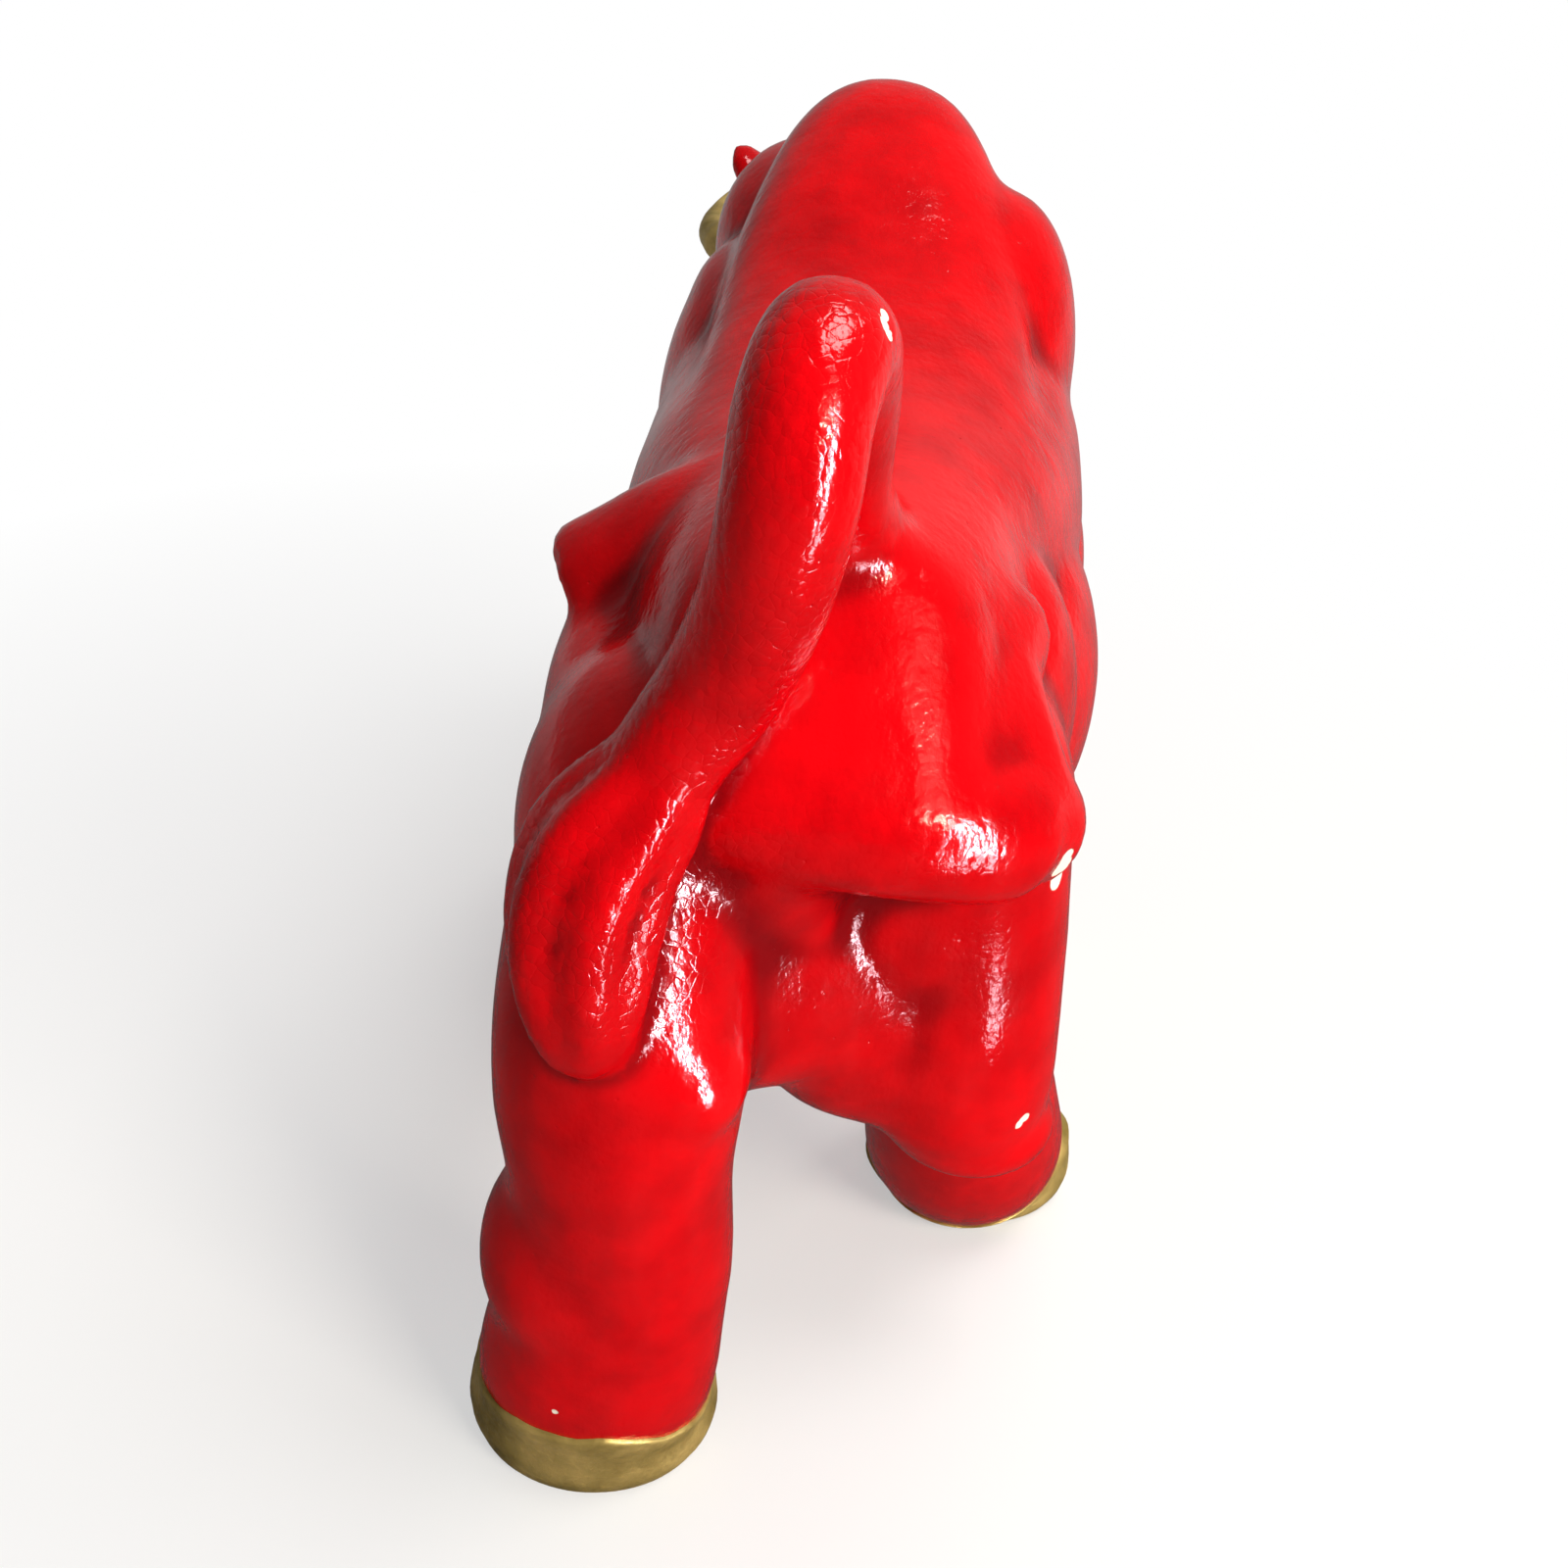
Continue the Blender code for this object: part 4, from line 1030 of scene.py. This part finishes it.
# height, depth in metres and strength of each layer
LAYERS = (
    (streak, STREAK_DEPTH, 1.0),
    (peel, PEEL_DEPTH, 1.0),
    (pinhole, -PINHOLE_DEPTH, 1.0),
    (flake, -FLAKE_DEPTH, crazing),
    (crack, -CRACK_DEPTH, crazing),
    (chipped, -CHIP_STEP, 1.0),
)
relief = None
for height, depth, strength in LAYERS:
    layer = {"Height": height, "Distance": depth, "Strength": strength}
    if relief is not None:
        layer["Normal"] = relief
    relief = add_node(tree, "ShaderNodeBump", layer)
tree.links.new(relief.outputs["Normal"], shader.inputs["Normal"])
gloss = add_node(tree, "ShaderNodeMapRange", (streak, *GLOSS))
matt = add_node(tree, "ShaderNodeMapRange", (chipped, *CHIP_MATT))
roughness = add_node(tree, "ShaderNodeMath", (gloss, matt), operation="MAXIMUM")
tree.links.new(roughness.outputs[0], shader.inputs["Roughness"])
shader.inputs["Specular Tint"].default_value = GLINT_TINT

coat.materials.clear()
coat.materials.append(red_paint)
coat_ob = shown("red_coat", coat)
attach(coat_ob, "root")
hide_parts("torso", "head", "tail", "ear_left", "ear_right", *(f"leg_{which}" for which in LEGS))
print("red coat", len(tree.nodes), "nodes")

# %% [markdown]
# ## Gold
#
# The gold is bronze powder in varnish. It could be a full metal, but it scatters like paint: half
# metallic, fairly rough, with fine grain and darker, olive places where the powder lies thin.

# %% Gold paint
GOLD_FULL = linear("#d8b96e")
GOLD_OLIVE = linear("#967f3c")
GRAIN_SIZE = 0.7 * MM
GRAIN_DEPTH = 0.06 * MM
PATCH_SIZE = 7.0 * MM
PATCH_DEPTH = 0.25 * MM
PATCH_THINS = (0.35, 0.7)
GOLD_SATIN = (0.3, 0.7, 0.34, 0.56)
GOLD_METAL = 0.55

gold_paint.use_nodes = True
tree = gold_paint.node_tree
shader = tree.nodes["Principled BSDF"]
point = add_node(tree, "ShaderNodeTexCoord").outputs["Object"]
grain = add_node(tree, "ShaderNodeTexNoise", {"Vector": point, "Scale": 1 / GRAIN_SIZE, "Detail": 3.0})
patch = add_node(tree, "ShaderNodeTexNoise", {"Vector": point, "Scale": 1 / PATCH_SIZE, "Detail": 4.0})
thin = add_node(tree, "ShaderNodeMapRange", (patch, *PATCH_THINS))
gold = add_node(tree, "ShaderNodeMix", {0: thin, 6: GOLD_FULL, 7: GOLD_OLIVE}, data_type="RGBA")
satin = add_node(tree, "ShaderNodeMapRange", (grain, *GOLD_SATIN))
uneven = add_node(tree, "ShaderNodeBump", {"Height": patch, "Distance": PATCH_DEPTH})
grainy = add_node(tree, "ShaderNodeBump", {"Height": grain, "Distance": GRAIN_DEPTH, "Normal": uneven})
tree.links.new(gold.outputs[2], shader.inputs["Base Color"])
tree.links.new(satin.outputs[0], shader.inputs["Roughness"])
tree.links.new(grainy.outputs["Normal"], shader.inputs["Normal"])
shader.inputs["Metallic"].default_value = GOLD_METAL
print("gold paint", len(tree.nodes), "nodes")

# %% [markdown]
# ## Floor and background
#
# A pale floor carries the shadow and fades to white away from the figure. The camera sees white all
# round. A gloss sees the same background, but dimmer towards the side where the camera stands, as in a
# room: a dark surrounding is what keeps a glossy red deep.

# %% Floor
FLOOR_COLOUR = linear("#dad8d5")
FLOOR_HALF = 20.0
FLOOR_ROUGHNESS = 0.9
FIBRE_SIZE = 0.6 * MM
FIBRE_DEPTH = 0.01 * MM
# distances in metres, and the share of white at each
FLOOR_FADE = (0.05, 0.32, 0.45, 1.0)
# lengthwise limits and the brightness at each, as a gloss sees the floor and the room
FLOOR_DIM = (-0.1, 0.5, 0.06, 0.35)
SKY_DIM = (-0.4, 1.0, 0.05, 0.25)
WHITE = (1.0, 1.0, 1.0, 1.0)


def background_glow(tree, direction, dim):
    """Which rays see the background, and how bright: a gloss sees it dimmer behind the camera."""
    path = add_node(tree, "ShaderNodeLightPath").outputs
    direct = path["Is Camera Ray"]
    mirrored = (path["Is Glossy Ray"], path["Is Transmission Ray"])
    mirrored = add_node(tree, "ShaderNodeMath", mirrored, operation="MAXIMUM")
    along = add_node(tree, "ShaderNodeSeparateXYZ", (direction,)).outputs["Y"]
    dimmed = add_node(tree, "ShaderNodeMapRange", (along, *dim))
    strength = add_node(tree, "ShaderNodeMath", (direct, dimmed), operation="MAXIMUM")
    return direct, mirrored, strength


floor_clay = bmesh.new()
bmesh.ops.create_grid(floor_clay, x_segments=1, y_segments=1, size=FLOOR_HALF)
floor_mesh = bpy.data.meshes.new("floor")
floor_clay.to_mesh(floor_mesh)
floor_clay.free()
# to the eye: a matt, near white ground that only shows the shadow
floor_paint = bpy.data.materials.new("pale paper floor")
floor_paint.use_nodes = True
tree = floor_paint.node_tree
shader = tree.nodes["Principled BSDF"]
shader.inputs["Base Color"].default_value = FLOOR_COLOUR
shader.inputs["Roughness"].default_value = FLOOR_ROUGHNESS
point = add_node(tree, "ShaderNodeTexCoord").outputs["Object"]
fibre = add_node(tree, "ShaderNodeTexNoise", {"Vector": point, "Scale": 1 / FIBRE_SIZE, "Detail": 2.0})
rough = add_node(tree, "ShaderNodeBump", {"Height": fibre, "Distance": FIBRE_DEPTH})
tree.links.new(rough.outputs["Normal"], shader.inputs["Normal"])

direct, mirrored, strength = background_glow(tree, point, FLOOR_DIM)
distance = add_node(tree, "ShaderNodeVectorMath", (point,), operation="LENGTH").outputs["Value"]
far = add_node(tree, "ShaderNodeMapRange", (distance, *FLOOR_FADE))
far = add_node(tree, "ShaderNodeMath", (far, direct), operation="MULTIPLY")
share = add_node(tree, "ShaderNodeMath", (far, mirrored), operation="MAXIMUM")
glow = add_node(tree, "ShaderNodeEmission", {"Color": WHITE, "Strength": strength})
faded = add_node(tree, "ShaderNodeMixShader", (share, shader, glow))
tree.links.new(faded.outputs[0], tree.nodes["Material Output"].inputs["Surface"])
floor_mesh.materials.append(floor_paint)
floor = shown("floor", floor_mesh)
print("floor", len(tree.nodes), "nodes")

# %% [markdown]
# ## Room and lamps
#
# The world gives a weak, even fill. A key light from the right behind the camera and a light from above
# model the forms, and a fill keeps the face readable from the front. Two strips and a small warm lamp
# are only mirrored: they draw the long glints on tail, tuft and thighs without flattening the shade.

# %% Room and lamps
FILL_COLOUR = linear("#f4f6fa")
FILL_STRENGTH = 0.18

world = bpy.data.worlds.new("studio")
bpy.context.scene.world = world
world.use_nodes = True
tree = world.node_tree
fill = tree.nodes["Background"]
fill.inputs["Color"].default_value = FILL_COLOUR
fill.inputs["Strength"].default_value = FILL_STRENGTH
direction = add_node(tree, "ShaderNodeTexCoord").outputs["Generated"]
direct, mirrored, strength = background_glow(tree, direction, SKY_DIM)
white = add_node(tree, "ShaderNodeBackground", {"Color": WHITE, "Strength": strength})
seen = add_node(tree, "ShaderNodeMath", (direct, mirrored), operation="MAXIMUM")
mixed = add_node(tree, "ShaderNodeMixShader", (seen, fill, white))
tree.links.new(mixed.outputs[0], tree.nodes["World Output"].inputs["Surface"])

# place in drawing millimetres, size in metres, watts, colour, lights the forms, is mirrored in the gloss
LAMPS = {
    "window strip": ((330, -350, 150), (0.045, 0.30), 3.0, "#f2f4ff", False, True),
    "low strip": ((130, -190, 45), (0.02, 0.08), 0.12, "#f2f4ff", False, True),
    "warm lamp": ((420, -560, 420), (0.05, 0.05), 1.2, "#fff0d4", False, True),
    "key light": ((400, -450, 440), (0.25, 0.25), 4.7, "#fff8ec", True, False),
    "front fill": ((250, 800, 420), (0.5, 0.5), 5.0, "#ffffff", True, False),
    "top light": ((300, -60, 900), (0.40, 0.40), 5.6, "#ffffff", True, True),
}
# all lamps face the middle of the figurine
TARGET = PLACE @ Vector((0, -20, 100))
for name, (place, (width, height), watts, colour, lights, mirrored) in LAMPS.items():
    lamp_data = bpy.data.lights.new(name, "AREA")
    lamp_data.shape = "RECTANGLE"
    lamp_data.size = width
    lamp_data.size_y = height
    lamp_data.energy = watts
    lamp_data.color = linear(colour)[:3]
    lamp = bpy.data.objects.new(name, lamp_data)
    lamp.location = PLACE @ Vector(place)
    lamp.rotation_euler = (TARGET - lamp.location).to_track_quat("-Z", "Y").to_euler()
    lamp.visible_camera = False
    lamp.visible_diffuse = lights
    lamp.visible_glossy = mirrored
    bpy.context.scene.collection.objects.link(lamp)

bpy.context.scene.view_settings.view_transform = "Standard"
print("room set with", len(LAMPS), "lamps")
